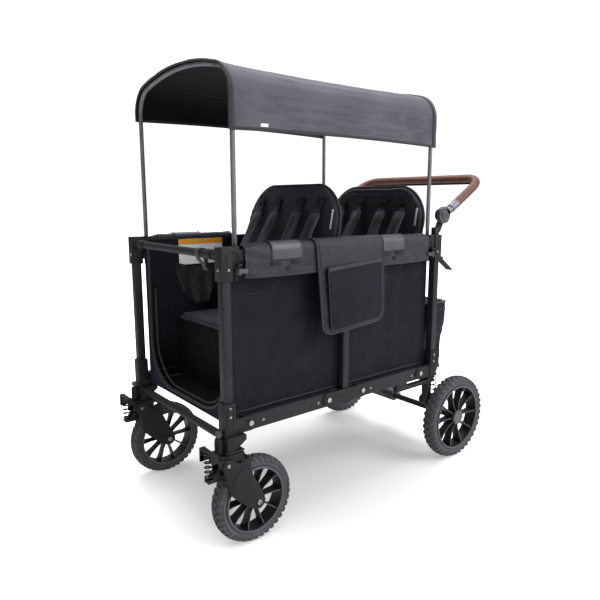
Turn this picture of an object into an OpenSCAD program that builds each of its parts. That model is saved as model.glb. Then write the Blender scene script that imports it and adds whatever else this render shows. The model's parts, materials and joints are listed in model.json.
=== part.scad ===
// Folding four-seat pull wagon for children: two box-tube end frames joined by
// folding side rails, an arched canopy on four poles, two forward-facing
// benches, a tilting push handle, sprung front casters and a sprung rear axle.
// +X points to the push handle, -Y is the near side, +Z is up, Z = 0 is the ground.

/* [Frame] */
// Distance between the front and rear post centres
post_gap_x = 836; // [760:1:1010]
// Distance between the left and right post centres
post_gap_y = 536; // [450:1:650]
// Outside width of a square post tube
post_w = 24; // [20:1:28]
// Wall thickness of the tubes
tube_wall = 2; // [1.2:0.1:3]
// Height of the upper fold pivots above the ground
upper_pivot_z = 795; // [720:1:950]
// Height of the lower fold pivots above the ground
lower_pivot_z = 344; // [330:1:370]
// Diameter of the cross bars of the end frames
cross_bar_d = 22; // [16:1:26]

/* [Folding rails] */
// Distance from a post centre to its fold pivots
pivot_inset = 66; // [60:1:80]
// Distance between the two pivots of a mid plate
mid_pivot_gap = 142; // [110:1:180]
// Width of a folding rail, across the wagon
rail_w = 17.6; // [14:0.2:20]
// Height of a lower rail
lower_rail_h = 42; // [34:1:44]
// Height of an upper rail
upper_rail_h = 30; // [24:1:32]
// Thickness of the plates that hold a rail
plate_t = 3; // [2:0.5:4]
// Side gap between a rail and its plates
side_gap = 0.5; // [0.3:0.1:1]
// Diameter of the fold pivot pins
pin_d = 8; // [6:0.5:10]
// Radial running clearance of pins and axles
run_gap = 0.08; // [0.03:0.01:0.1]

/* [Rear axle] */
// Outside diameter of a rear tyre
rear_wheel_d = 300; // [260:1:310]
// Distance from the rear posts to the rear axle
rear_axle_back = 116; // [100:1:150]
// Distance of the rear wheel planes from the centre plane
rear_wheel_y = 293; // [292:1:320]
// Width of a tyre
tyre_w = 50; // [40:1:54]
// Diameter of the rear axle tube
axle_tube_d = 22; // [18:1:26]
// Diameter of a wheel axle
axle_d = 12; // [10:1:14]

/* [Front casters] */
// Outside diameter of a front tyre
front_wheel_d = 244; // [200:1:248]
// Distance from the swivel axis back to the wheel axle
caster_trail = 74; // [60:1:90]
// Diameter of the swivel stem
stem_d = 14; // [10:1:18]

/* [Handle] */
// Length of a handle arm from its pivot to the crossbar
handle_reach = 247; // [200:1:320]
// Rest angle of the handle above the horizontal
handle_angle = 31; // [0:1:60]
// Diameter of the handle tube
handle_d = 24; // [20:1:28]
// Diameter of the wrapped grip
grip_d = 31; // [28:1:36]

/* [Canopy] */
// Diameter of a canopy pole
pole_d = 13; // [10:0.5:14]
// Height where a pole starts to curve into its arch
spring_z = 1190; // [1150:1:1300]
// Corner radius of an arch
arch_corner_r = 75; // [50:1:110]
// Slope of the arch where its corner ends
arch_slope = 14; // [10:1:20]
// How far the fabric hangs below the arch corners on the near side
drop_near = 88; // [40:1:140]
// How far the fabric hangs below the arch corners on the far side
drop_far = 16; // [10:1:140]

/* [Seats and fabric] */
// Height of the bench seats above the ground
seat_z = 560; // [500:1:600]
// Depth of a bench from its front edge to its back
bench_depth = 228; // [200:1:235]
// Height of a seat back
back_h = 428; // [360:1:440]
// Lean of a seat back from the vertical
back_lean = 9.8; // [5:0.1:11]
// Thickness of a seat back
back_t = 30; // [24:1:32]
// Thickness of the fabric walls
wall_t = 3; // [2:0.5:4]

/* [Hidden] */
$fn = 48;
px = post_gap_x / 2;
py = post_gap_y / 2;
pivot_x = px - pivot_inset;
mid_x = mid_pivot_gap / 2;
cheek_in = rail_w / 2 + side_gap;
cheek_out = cheek_in + plate_t;
bore_d = pin_d + 2 * run_gap;
lower_end = lower_rail_h / 2;
upper_end = 12;
sleeve_w = post_w + 9;
soft_gap = 0.4;
wall_in = py - sleeve_w / 2 - wall_t - soft_gap;

rear_r = rear_wheel_d / 2;
front_r = front_wheel_d / 2;
axle_x = px + rear_axle_back;
leg_y = rear_wheel_y - tyre_w / 2 - 9 - 12.5;
leg_x = px + 14;
arm_pivot_z = rear_r + 72;
arm_y = leg_y - 12.5 - 0.5 - 4;
strut_x = leg_x + 38;

front_axle_x = -px + caster_trail;
fork_pivot_x = -px - 21;
fork_pivot_z = front_r + 133;
fork_y = tyre_w / 2 + 7;
head_z = fork_pivot_z + 46;
head_h = 45;
spring_x = -px - 58;

pole_x = px - 36;
pole_y = py - 4.5;
pole_low = upper_pivot_z - 35;
guide_low = upper_pivot_z - 245;
cap_z = upper_pivot_z + 22;
dome_y = pole_y - arch_corner_r * (1 - cos(90 - arch_slope));
dome_r = dome_y / sin(arch_slope);
dome_z = spring_z + arch_corner_r * sin(90 - arch_slope);
arch_z = dome_z + dome_r * (1 - cos(arch_slope));
lever_z = upper_pivot_z - 34;
latch_x = px + sleeve_w / 2 + 8;
latch_z = cap_z - 82;

handle_x = px + 25;
handle_z = cap_z + 66;
handle_y = py + 15;
handle_corner = 62;
grip_start = 76;

floor_z = lower_pivot_z - 6;
back_foot_x = [-60, px - 90];
bag_x = px - 13;

front_end = spring_x - 10;
rear_end = handle_x + handle_reach * cos(handle_angle) + grip_d / 2;
shift_x = (front_end + rear_end) / 2;

steel = "#3a3a3e";
casting = "#2c2c30";
plastic = "#33333a";
cloth = "#1c1c22";
bolt_steel = "#8c8c90";

// ---- shared shapes -------------------------------------------------------

module both_sides() { children(); mirror([0, 1, 0]) children(); }

// a round bar along Y, centred on the current place
module y_rod(d, h) { rotate([90, 0, 0]) cylinder(d = d, h = h, center = true); }

module y_ring(d_out, d_in, h) {
    difference() { y_rod(d_out, h); y_rod(d_in, h + 2); }
}

// a block given by its lowest and highest corners
module block(lo, hi) { translate(lo) cube(hi - lo); }

// a plate along X with round ends and two bores, flat in Y
module link_plate(x0, x1, h, t, hole) {
    difference() {
        union() {
            block([x0, -t / 2, -h / 2], [x1, t / 2, h / 2]);
            for (x = [x0, x1]) translate([x, 0, 0]) y_rod(h, t);
        }
        for (x = [x0, x1]) translate([x, 0, 0]) y_rod(hole, t + 2);
    }
}

// a rectangular tube along X with a pivot bore near each end
module rail(x0, x1, h, end) {
    wall = tube_wall;
    difference() {
        block([x0 - end, -rail_w / 2, -h / 2], [x1 + end, rail_w / 2, h / 2]);
        block([x0 - end - 1, -rail_w / 2 + wall, -h / 2 + wall],
              [x1 + end + 1, rail_w / 2 - wall, h / 2 - wall]);
        for (x = [x0, x1]) translate([x, 0, 0]) y_rod(bore_d, rail_w + 2);
    }
}

// two cheeks that hold a rail at the origin and a web that joins them, towards +X
module cheeks(h, length, clear) {
    difference() {
        union() {
            for (s = [-1, 1]) translate([0, s * (cheek_in + plate_t / 2), 0]) {
                block([0, -plate_t / 2, -h / 2], [length, plate_t / 2, h / 2]);
                y_rod(h, plate_t);
            }
            block([clear, -cheek_out, -h / 2], [length, cheek_out, h / 2]);
        }
        y_rod(pin_d, 2 * cheek_out + 2);
    }
}

// a pivot pin with a head on the outer side and a nut on the inner side
module pivot_bolt() {
    y_rod(pin_d, 2 * cheek_out);
    translate([0, -cheek_out - 2, 0]) y_rod(pin_d + 7, 4);
    translate([0, cheek_out + 2, 0]) y_rod(pin_d + 5, 4);
}

module post(z0, z1) {
    difference() {
        block([-post_w / 2, -post_w / 2, z0], [post_w / 2, post_w / 2, z1]);
        block([-post_w / 2 + tube_wall, -post_w / 2 + tube_wall, z0 - 1],
              [post_w / 2 - tube_wall, post_w / 2 - tube_wall, z1 + 1]);
    }
}

// ---- end frames ----------------------------------------------------------
// Each is drawn once as the near rear corner; the front one is its mirror image.

module rear_side() { both_sides() translate([px, -py, 0]) children(); }
module front_side() { mirror([1, 0, 0]) rear_side() children(); }

post_low = lower_pivot_z - 10;
module corner_post() { post(post_low, cap_z - 8); }

module corner_top_bracket() {
    difference() {
        union() {
            block([-sleeve_w / 2, -sleeve_w / 2, cap_z - 86], [sleeve_w / 2, sleeve_w / 2, cap_z]);
            translate([-pivot_inset, 0, upper_pivot_z])
                cheeks(upper_rail_h, pivot_inset - sleeve_w / 2 + 1, pivot_inset - 48 + pole_d / 2 + 5);
            translate([-36, py - pole_y, guide_low]) cylinder(d = pole_d + 5, h = cap_z - guide_low);
            block([-36, -cheek_out, cap_z - 48], [0, cheek_out, cap_z]);
            translate([-36, py - pole_y, cap_z - 48]) cylinder(d = 2 * cheek_out, h = 48);
            block([-40, -cheek_out - 12, cap_z - 48], [-28, 0, cap_z - 42]);
            translate([-34, -cheek_out - 6.8, lever_z - 16]) cylinder(d = 5, h = cap_z - 44 - lever_z + 16);
            translate([-34, -cheek_out - 6.8, lever_z - 18]) cylinder(d = 9, h = 2.5);
        }
        block([-post_w / 2 - 0.1, -post_w / 2 - 0.1, cap_z - 90],
              [post_w / 2 + 0.1, post_w / 2 + 0.1, cap_z - 7.9]);
        translate([-36, py - pole_y, guide_low - 1])
            cylinder(d = pole_d + 2 * run_gap, h = cap_z - guide_low + 2);
        translate([-pivot_inset - upper_rail_h, -cheek_in, upper_pivot_z - upper_rail_h / 2 - 12])
            cube([upper_rail_h * 1.7, 2 * cheek_in, upper_rail_h + 24]);
    }
}

module corner_bottom_bracket() {
    low = lower_pivot_z - lower_rail_h / 2;
    difference() {
        union() {
            block([-sleeve_w / 2, -sleeve_w / 2, low], [sleeve_w / 2, sleeve_w / 2, low + 90]);
            translate([-pivot_inset, 0, lower_pivot_z])
                cheeks(lower_rail_h, pivot_inset - sleeve_w / 2 + 1, lower_end * 1.42 + 1);
        }
        block([-post_w / 2 - 0.1, -post_w / 2 - 0.1, post_low - 0.1],
              [post_w / 2 + 0.1, post_w / 2 + 0.1, low + 91]);
    }
}

// the rest under a lower rail, which stops the fold at its flat position
module rail_rest() {
    low = lower_pivot_z - lower_rail_h / 2;
    block([-180, -rail_w / 2, low - 26], [sleeve_w / 2, rail_w / 2, low - 12]);
    block([-180, -rail_w / 2, low - 26], [-130, rail_w / 2, low - 0.5]);
    block([-16, -rail_w / 2, low - 26], [sleeve_w / 2, rail_w / 2, low]);
}

module rear_posts() color(steel) rear_side() corner_post();

module rear_top_brackets() color(casting) {
    rear_side() difference() {
        union() {
            corner_top_bracket();
            block([-6, -6, cap_z], [14, 12, cap_z + 24]);
            translate([handle_x - px, 1, handle_z]) y_rod(40, 14);
            translate([4, -6, cap_z + 16]) rotate([0, 27, 0]) cube([18, 14, 34]);
        }
        translate([handle_x - px, 0, handle_z]) y_rod(bore_d, 40);
    }
    // ears and pin of the fold latch, on the near side only
    translate([latch_x, -py, latch_z]) {
        for (y = [-16.5, 13.5]) block([-9, y, -4], [4, y + 3, 8]);
        y_rod(5, 33);
    }
}

module rear_bottom_brackets() color(casting) rear_side() {
    corner_bottom_bracket();
    rail_rest();
    // shelf that carries the leg and the top seat of the spring
    low = lower_pivot_z - lower_rail_h / 2;
    block([sleeve_w / 2 - 4, py - leg_y - 14, low + 14], [strut_x - px + 14, py - leg_y + 14, low + 26]);
    block([-4, sleeve_w / 2 - 1, low], [leg_x - px + 13, py - leg_y + 12.5, low + 26]);
}

module rear_bars() color(steel) {
    translate([px, 0, upper_pivot_z]) y_rod(cross_bar_d, post_gap_y - sleeve_w);
    translate([leg_x, 0, lower_pivot_z - 44]) y_rod(cross_bar_d, 2 * leg_y - 25);
}

module rear_legs() color(steel) both_sides() translate([leg_x, -leg_y, 0]) {
    difference() {
        union() {
            block([-13, -12.5, arm_pivot_z], [13, 12.5, lower_pivot_z - lower_rail_h / 2]);
            translate([0, 0, arm_pivot_z]) y_rod(26, 25);
        }
        translate([0, 0, arm_pivot_z]) y_rod(bore_d, 40);
    }
}

module rear_pivot_bolts() color(bolt_steel) {
    rear_side() for (z = [lower_pivot_z, upper_pivot_z])
        translate([-pivot_inset, 0, z]) pivot_bolt();
}

module front_posts() color(steel) front_side() corner_post();
module front_top_brackets() color(casting) front_side() corner_top_bracket();
module front_bottom_brackets() color(casting) front_side() corner_bottom_bracket();
module front_pivot_bolts() color(bolt_steel) {
    front_side() for (z = [lower_pivot_z, upper_pivot_z])
        translate([-pivot_inset, 0, z]) pivot_bolt();
}

module front_bars() color(steel) {
    translate([-px, 0, upper_pivot_z]) y_rod(cross_bar_d, post_gap_y - sleeve_w);
    translate([-px, 0, head_z + 10]) y_rod(cross_bar_d, post_gap_y - 52);
}

// ---- casters -------------------------------------------------------------

module caster_place() { translate([0, -py, 0]) children(); }
module far_caster() { mirror([0, 1, 0]) caster_place() children(); }

// the fixed head under a front post, with its stem bore and lock boss
module caster_head() {
    difference() {
        union() {
            block([-px - 16, -26, head_z - 22], [-px + 34, 26, lower_pivot_z - lower_rail_h / 2]);
            translate([-px - 27, 0, head_z - 22]) cylinder(d = 20, h = head_h - 3);
            block([-px - 27, -7, head_z - 22], [-px - 10, 7, head_z + 10]);
        }
        translate([-px, 0, head_z - 30]) cylinder(d = stem_d + 2 * run_gap, h = 42);
        translate([-px - 27, 0, head_z - 24]) cylinder(d = 10 + 2 * run_gap, h = head_h + 8);
    }
}
module caster_heads() color(casting) both_sides() caster_place() caster_head();

module lock_pin() {
    translate([-px - 27, 0, head_z - 14]) cylinder(d = 10, h = head_h + 2);
    translate([-px - 27, 0, head_z + head_h - 15]) cylinder(d = 18, h = 9);
}
module lock_pin_near() color(plastic) caster_place() lock_pin();
module lock_pin_far() color(plastic) far_caster() lock_pin();

module caster_swivel() {
    difference() {
        union() {
            block([-px - 37, -27, fork_pivot_z - 11], [-px + 33, 27, head_z - 24]);
            translate([-px, 0, head_z - 26]) cylinder(d = 50, h = 3);
            translate([-px, 0, head_z - 26]) cylinder(d = stem_d, h = 36);
            block([-px - 37, -12, fork_pivot_z - 47], [-px - 31, 12, fork_pivot_z]);
            block([spring_x - 10, -12, fork_pivot_z - 47], [-px - 31, 12, fork_pivot_z - 41]);
        }
        translate([fork_pivot_x, 0, fork_pivot_z]) y_rod(bore_d, 60);
    }
}
module caster_swivel_near() color(casting) caster_place() caster_swivel();
module caster_swivel_far() color(casting) far_caster() caster_swivel();

// one fork side plate: axle eye, pivot eye and spring arm
module fork_plate() {
    reach = [front_axle_x - fork_pivot_x, front_r - fork_pivot_z];
    slant = atan2(-reach[1], reach[0]);
    translate([fork_pivot_x, 0, fork_pivot_z]) {
        rotate([0, slant, 0]) block([0, -3, -15], [norm(reach), 3, 15]);
        y_rod(34, 6);
        block([-46, -3, 0], [14, 3, 18]);
        block([-46, -3, 0], [-28, 3, 40]);
    }
    translate([front_axle_x, 0, front_r]) y_rod(36, 6);
}

module caster_fork() {
    for (s = [-1, 1]) {
        translate([0, s * fork_y, 0]) fork_plate();
        translate([fork_pivot_x, s * (fork_y + 5), fork_pivot_z]) y_rod(17, 4.2);
    }
    block([spring_x - 9, -fork_y + 2, fork_pivot_z + 34], [spring_x + 6, fork_y - 2, fork_pivot_z + 40]);
    translate([fork_pivot_x, 0, fork_pivot_z]) y_rod(pin_d, 2 * fork_y);
    translate([front_axle_x, 0, front_r]) y_rod(axle_d, 2 * fork_y + 18);
}
module caster_fork_near() color(plastic) caster_place() caster_fork();
module caster_fork_far() color(plastic) far_caster() caster_fork();

module caster_spring() {
    translate([spring_x, 0, fork_pivot_z - 41 + 0.3]) difference() {
        cylinder(d = 21, h = 75 - 0.6);
        translate([0, 0, -1]) cylinder(d = 12, h = 90);
    }
}
module caster_spring_near() color(bolt_steel) caster_place() caster_spring();
module caster_spring_far() color(bolt_steel) far_caster() caster_spring();

// ---- wheels --------------------------------------------------------------
// A wheel is drawn about the Y axis; -Y is its outer face.

module rim(r, opening, spokes) {
    bead = r * opening + 8;
    difference() {
        union() {
            y_ring(2 * bead, 2 * r * opening, tyre_w - 8);
            y_rod(r * 0.36, tyre_w - 14);
            for (i = [0 : spokes - 1]) rotate([0, i * 360 / spokes, 0])
                block([r * 0.12, -14, -3], [r * opening + 2, 14, 3]);
        }
        y_rod(axle_d + 2 * run_gap, tyre_w + 2);
    }
}

// rounded tyre with a bore that sits on the rim
module tyre(r, opening) {
    bore = r * opening + 8;
    crown = 13;
    rotate([90, 0, 0]) rotate_extrude($fn = 96) difference() {
        union() {
            translate([bore, -tyre_w / 2]) square([r - bore - crown, tyre_w]);
            translate([bore, -tyre_w / 2 + crown]) square([r - bore, tyre_w - 2 * crown]);
            for (s = [-1, 1]) translate([r - crown, s * (tyre_w / 2 - crown)]) circle(r = crown);
        }
        translate([0, -tyre_w]) square([bore, 2 * tyre_w]);
    }
}

module rear_wheel_place() { translate([axle_x, -rear_wheel_y, rear_r]) children(); }
module rear_rim() rear_wheel_place() {
    rim(rear_r, 0.735, 10);
    hub_face = tyre_w / 2 - 7;
    translate([0, -hub_face, 0]) difference() {
        translate([0, -6.4, 0]) y_rod(rear_r * 0.38, 12.8);
        translate([0, -2, 0]) y_rod(axle_d + 4, 12);
    }
}
module rear_tyre() rear_wheel_place() tyre(rear_r, 0.735);
module rear_rim_near() color(plastic) rear_rim();
module rear_rim_far() color(plastic) mirror([0, 1, 0]) rear_rim();
module rear_tyre_near() color(steel) rear_tyre();
module rear_tyre_far() color(steel) mirror([0, 1, 0]) rear_tyre();

module front_wheel_place() { translate([front_axle_x, 0, front_r]) children(); }
module front_rim_near() color(plastic) caster_place() front_wheel_place() rim(front_r, 0.71, 10);
module front_rim_far() color(plastic) far_caster() front_wheel_place() rim(front_r, 0.71, 10);
module front_tyre_near() color(steel) caster_place() front_wheel_place() tyre(front_r, 0.71);
module front_tyre_far() color(steel) far_caster() front_wheel_place() tyre(front_r, 0.71);

// ---- rear suspension -----------------------------------------------------

module rear_swing_arms() color(casting) both_sides() {
    run = axle_x - leg_x;
    fall = arm_pivot_z - rear_r;
    slant = atan2(fall, run);
    seat_z = rear_r + fall * (axle_x - strut_x) / run + 4;
    difference() {
        union() {
            translate([leg_x, -arm_y, arm_pivot_z]) {
                y_rod(30, 8);
                rotate([0, slant, 0]) block([0, -4, -13], [norm([run, fall]), 4, 13]);
            }
            translate([axle_x, -arm_y, rear_r]) y_rod(40, 8);
            block([strut_x - 14, -leg_y - 13, seat_z], [strut_x + 14, -arm_y + 4, seat_z + 8]);
        }
        translate([axle_x, -arm_y, rear_r]) y_rod(axle_tube_d, 10);
    }
    translate([leg_x, -arm_y - 16, arm_pivot_z]) y_rod(pin_d, 33);
    translate([leg_x, -leg_y - 15.5, arm_pivot_z]) y_rod(16, 4);
}

module rear_springs() color(bolt_steel) both_sides() {
    run = axle_x - leg_x;
    seat = rear_r + (arm_pivot_z - rear_r) * (axle_x - strut_x) / run + 12;
    top = lower_pivot_z - lower_rail_h / 2 + 14;
    translate([strut_x, -leg_y, seat + 0.3]) difference() {
        cylinder(d = 25, h = top - seat - 0.6);
        translate([0, 0, -1]) cylinder(d = 16, h = top - seat + 2);
    }
}

module rear_axle() color(steel) translate([axle_x, 0, rear_r]) {
    tube_half = rear_wheel_y - tyre_w / 2 - 5;
    y_rod(axle_tube_d, 2 * tube_half);
    y_rod(axle_d, 2 * (rear_wheel_y + tyre_w / 2 - 1));
}

module brake_pedal() color(plastic) translate([axle_x, 45, rear_r]) {
    difference() {
        union() {
            y_rod(44, 110);
            block([6, -34, -17], [62, 34, -9]);
            rotate([0, -25, 0]) block([12, -34, 8], [50, 34, 15]);
        }
        y_rod(axle_tube_d + 2 * run_gap, 112);
    }
}

// ---- folding rails and mid frame -----------------------------------------

module rail_pair(x0, x1, z, h, end) {
    both_sides() translate([0, -py, z]) rail(x0, x1, h, end);
}
module lower_rear_rails() color(steel)
    rail_pair(mid_x, pivot_x, lower_pivot_z, lower_rail_h, lower_end);
module lower_front_rails() color(steel)
    rail_pair(-pivot_x, -mid_x, lower_pivot_z, lower_rail_h, lower_end);
module upper_rear_rails() color(steel)
    rail_pair(mid_x, pivot_x, upper_pivot_z, upper_rail_h, upper_end);
module upper_front_rails() color(steel)
    rail_pair(-pivot_x, -mid_x, upper_pivot_z, upper_rail_h, upper_end);

module mid_plates() color(casting) both_sides() translate([0, -py, 0]) {
    for (s = [-1, 1]) {
        translate([0, s * (cheek_in + plate_t / 2), lower_pivot_z])
            link_plate(-mid_x, mid_x, lower_rail_h, plate_t, pin_d);
        translate([0, s * (cheek_in + plate_t / 2), upper_pivot_z])
            link_plate(-mid_x, mid_x, upper_rail_h, plate_t, pin_d);
    }
}

module centre_posts() color(steel) both_sides() translate([0, -py, 0]) difference() {
    block([-11.5, -cheek_in, lower_pivot_z - lower_rail_h / 2],
          [11.5, cheek_in, upper_pivot_z + upper_rail_h / 2]);
    block([-11.5 + tube_wall, -cheek_in + tube_wall, 0],
          [11.5 - tube_wall, cheek_in - tube_wall, upper_pivot_z * 2]);
}

module mid_pivot_bolts() color(bolt_steel) both_sides() translate([0, -py, 0])
    for (x = [-mid_x, mid_x], z = [lower_pivot_z, upper_pivot_z]) translate([x, 0, z]) pivot_bolt();

// ---- push handle ---------------------------------------------------------

module handle_frame() {
    translate([handle_x, 0, handle_z]) rotate([0, -handle_angle, 0]) children();
}

// quarter bend at a far corner of the U, drawn for the near side
module handle_bend(d_out, d_in) {
    translate([handle_reach - handle_corner, -handle_y + handle_corner, 0])
        rotate([0, 0, -90]) rotate_extrude(angle = 90) translate([handle_corner, 0])
            difference() { circle(d = d_out); circle(d = d_in); }
}

module handle_straights(d_out, d_in, start) {
    arm = handle_reach - handle_corner - start;
    both_sides() translate([start, -handle_y, 0]) rotate([0, 90, 0]) difference() {
        cylinder(d = d_out, h = arm);
        translate([0, 0, -1]) cylinder(d = d_in, h = arm + 2);
    }
    translate([handle_reach, 0, 0]) difference() {
        y_rod(d_out, 2 * (handle_y - handle_corner));
        y_rod(d_in, 2 * (handle_y - handle_corner) + 2);
    }
}

module handle_bar() color(steel) handle_frame() {
    handle_straights(handle_d, handle_d - 2 * tube_wall, 22);
    both_sides() handle_bend(handle_d, handle_d - 2 * tube_wall);
}

module handle_grip() color("#8a5a4e") handle_frame() {
    handle_straights(grip_d, handle_d + 0.2, grip_start);
    both_sides() handle_bend(grip_d, handle_d + 0.2);
}

// round hubs on the handle arms, each hollow for its button
module handle_dials() color(plastic) handle_frame() both_sides()
    translate([0, -handle_y, 0]) difference() {
        union() {
            translate([0, 2, 0]) y_rod(56, 13);
            block([0, -6, -9], [24, 8, 9]);
            translate([0, 12, 0]) y_rod(pin_d, 16);
        }
        translate([0, -5, 0]) y_rod(34 + 2 * run_gap, 16);
        translate([15, 0, 0]) rotate([0, 90, 0]) cylinder(d = handle_d + 0.2, h = 60);
    }

module dial_button() {
    translate([0, -handle_y - 4.5, 0]) y_rod(34, 8);
}
module dial_button_near() color(casting) handle_frame() dial_button();
module dial_button_far() color(casting) mirror([0, 1, 0]) handle_frame() dial_button();

// ---- canopy --------------------------------------------------------------

// an arch of a round section of diameter d, drawn across the wagon at X = 0;
// short swaged sleeves join the corner bends to the dome
module arch(d, low) {
    both_sides() {
        translate([0, -pole_y, low]) cylinder(d = d, h = spring_z - low);
        translate([0, -pole_y + arch_corner_r, spring_z])
            rotate([90, 0, -90]) rotate_extrude(angle = 90 - arch_slope)
                translate([arch_corner_r, 0]) circle(d = d);
        translate([0, -dome_y, dome_z]) rotate([-90 + arch_slope, 0, 0])
            cylinder(d = d + 0.6, h = 16, center = true);
    }
    translate([0, 0, arch_z - dome_r]) rotate([90, 0, -90]) rotate([0, 0, 90 - arch_slope])
        rotate_extrude(angle = 2 * arch_slope, $fn = 360) translate([dome_r, 0]) circle(d = d);
}

module front_hoop() color(bolt_steel) translate([-pole_x, 0, 0]) arch(pole_d, pole_low);
module rear_hoop() color(bolt_steel) translate([pole_x, 0, 0]) arch(pole_d, pole_low);

// the outline of the arch grown outwards by g, as points on its two radii
function half_arch(g) = concat(
    [for (a = [0 : (90 - arch_slope) / 12 : 90 - arch_slope + 0.01]) let (r = arch_corner_r + g)
        [pole_y - arch_corner_r + r * cos(a), spring_z + r * sin(a)]],
    [for (a = [arch_slope * 6 / 7 : -arch_slope / 7 : -0.01]) let (r = dome_r + g)
        [r * sin(a), arch_z - dome_r + r * cos(a)]]);
function reversed(points) = [for (i = [len(points) - 1 : -1 : 0]) points[i]];
function mirrored(points) = reversed([for (p = points) [-p[0], p[1]]]);

module canopy_fabric() color("#55545c") {
    inner = half_arch(pole_d / 2 + 0.8);
    outer = half_arch(pole_d / 2 + 0.8 + wall_t);
    rim_in = pole_y + pole_d / 2 + 0.8;
    rim_out = rim_in + wall_t;
    translate([-pole_x - 9, 0, 0]) rotate([90, 0, 90]) linear_extrude(2 * pole_x + 18)
        polygon(concat(
            [[rim_in, spring_z - drop_far], [rim_out, spring_z - drop_far]],
            outer, mirrored(outer),
            [[-rim_out, spring_z - drop_near], [-rim_in, spring_z - drop_near]],
            reversed(mirrored(inner)), reversed(inner)));
}

// ---- small moving pieces -------------------------------------------------

// thumb lever that clamps a pole, drawn for the near rear corner
module pole_lever() {
    translate([-34, -cheek_out - 6.8, lever_z - 14]) difference() {
        union() {
            cylinder(d = 12, h = 16);
            block([-24, -3, 3], [0, 3, 14]);
        }
        translate([0, 0, -1]) cylinder(d = 5 + 2 * run_gap, h = 18);
    }
}
module lever_rear_near() color(plastic) translate([px, -py, 0]) pole_lever();
module lever_rear_far() color(plastic) mirror([0, 1, 0]) translate([px, -py, 0]) pole_lever();
module lever_front_near() color(plastic)
    mirror([1, 0, 0]) translate([px, -py, 0]) pole_lever();
module lever_front_far() color(plastic)
    mirror([1, 0, 0]) mirror([0, 1, 0]) translate([px, -py, 0]) pole_lever();

module fold_latch() color(cloth) translate([latch_x, -py, latch_z])
    difference() {
        union() {
            y_rod(12, 26);
            rotate([0, 35, 0]) block([3.5, -12.5, -1.5], [76, 12.5, 3.5]);
        }
        y_rod(5 + 2 * run_gap, 28);
    }

// ---- fabric tub and seats ------------------------------------------------

module side_walls() color(cloth) both_sides()
    block([-px + 20 + wall_t + soft_gap, -wall_in - wall_t, floor_z + 4],
          [bag_x - wall_t - 0.5 - soft_gap, -wall_in, upper_pivot_z + 10]);

module end_walls() color(cloth) {
    // front: a low sill with two side strips round the open doorway
    x = -px + 20;
    difference() {
        block([x, -wall_in, floor_z - 4], [x + wall_t, wall_in, upper_pivot_z - 14]);
        block([x - 1, -wall_in + 26, floor_z + 40], [x + wall_t + 1, wall_in - 26, upper_pivot_z]);
    }
    block([bag_x - wall_t - 0.5, -wall_in, floor_z - 4], [bag_x - 0.5, wall_in, upper_pivot_z - 14]);
}

module floor_panel() color(cloth)
    block([-px + 46, -wall_in + soft_gap, floor_z - 4],
          [px - 46, wall_in - soft_gap, floor_z]);

module benches() color(cloth) for (x = back_foot_x) {
    edge = x - bench_depth;
    block([edge, -wall_in + soft_gap, seat_z - 30], [x + back_t + 4, wall_in - soft_gap, seat_z]);
    block([edge, -wall_in + soft_gap, floor_z + soft_gap], [edge + 12, wall_in - soft_gap, seat_z - 29]);
}

// seat back outline: wide at the foot, with large round top corners
module back_shape() {
    half = wall_in - 8;
    r = 95;
    translate([-half, 0]) square([2 * half, back_h - r]);
    translate([-half + r, 0]) square([2 * half - 2 * r, back_h]);
    for (s = [-1, 1]) translate([s * (half - r), back_h - r]) circle(r = r);
}

module seat_backs() color(cloth) for (x = back_foot_x)
    translate([x + 3, 0, seat_z + back_t * sin(back_lean) + soft_gap]) rotate([0, back_lean, 0]) rotate([90, 0, 90])
        linear_extrude(back_t) back_shape();

module rail_cover(x0, x1) {
    top = upper_pivot_z + upper_rail_h / 2 + soft_gap;
    out = cheek_out + 5.5;
    block([x0, -out, top], [x1, out - 4, top + 6]);
    block([x0, -out, top - 72], [x1, -out + wall_t, top + 6]);
}
module rail_covers_rear() color(cloth) both_sides() translate([0, -py, 0])
    rail_cover(mid_x + 20, pivot_x - 20);
module rail_covers_front() color(cloth) both_sides() translate([0, -py, 0])
    rail_cover(-pivot_x + 20, -mid_x - 20);

module storage_bag() color(cloth)
    block([bag_x, -215, lower_pivot_z - 18], [bag_x + 104, 215, lower_pivot_z + 232]);

// ---- what is drawn -------------------------------------------------------

module placed() { translate([-shift_x, 0, 0]) children(); }

placed() rear_posts();
placed() rear_top_brackets();
placed() rear_bottom_brackets();
placed() rear_bars();
placed() rear_legs();
placed() rear_pivot_bolts();
placed() rear_swing_arms();
placed() rear_axle();
placed() rear_springs();
placed() brake_pedal();
placed() rear_rim_near();
placed() rear_rim_far();
placed() rear_tyre_near();
placed() rear_tyre_far();
placed() front_posts();
placed() front_top_brackets();
placed() front_bottom_brackets();
placed() front_bars();
placed() front_pivot_bolts();
placed() caster_heads();
placed() lock_pin_near();
placed() lock_pin_far();
placed() caster_swivel_near();
placed() caster_swivel_far();
placed() caster_fork_near();
placed() caster_fork_far();
placed() caster_spring_near();
placed() caster_spring_far();
placed() front_rim_near();
placed() front_rim_far();
placed() front_tyre_near();
placed() front_tyre_far();
placed() centre_posts();
placed() mid_plates();
placed() mid_pivot_bolts();
placed() lower_rear_rails();
placed() lower_front_rails();
placed() upper_rear_rails();
placed() upper_front_rails();
placed() handle_bar();
placed() handle_grip();
placed() handle_dials();
placed() dial_button_near();
placed() dial_button_far();
placed() front_hoop();
placed() rear_hoop();
placed() canopy_fabric();
placed() lever_front_near();
placed() lever_front_far();
placed() lever_rear_near();
placed() lever_rear_far();
placed() fold_latch();
placed() side_walls();
placed() end_walls();
placed() floor_panel();
placed() benches();
placed() seat_backs();
placed() rail_covers_front();
placed() rail_covers_rear();
placed() storage_bag();
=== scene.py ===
import json
import math
import bpy
import bmesh
from mathutils import Matrix, Vector, noise


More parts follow.
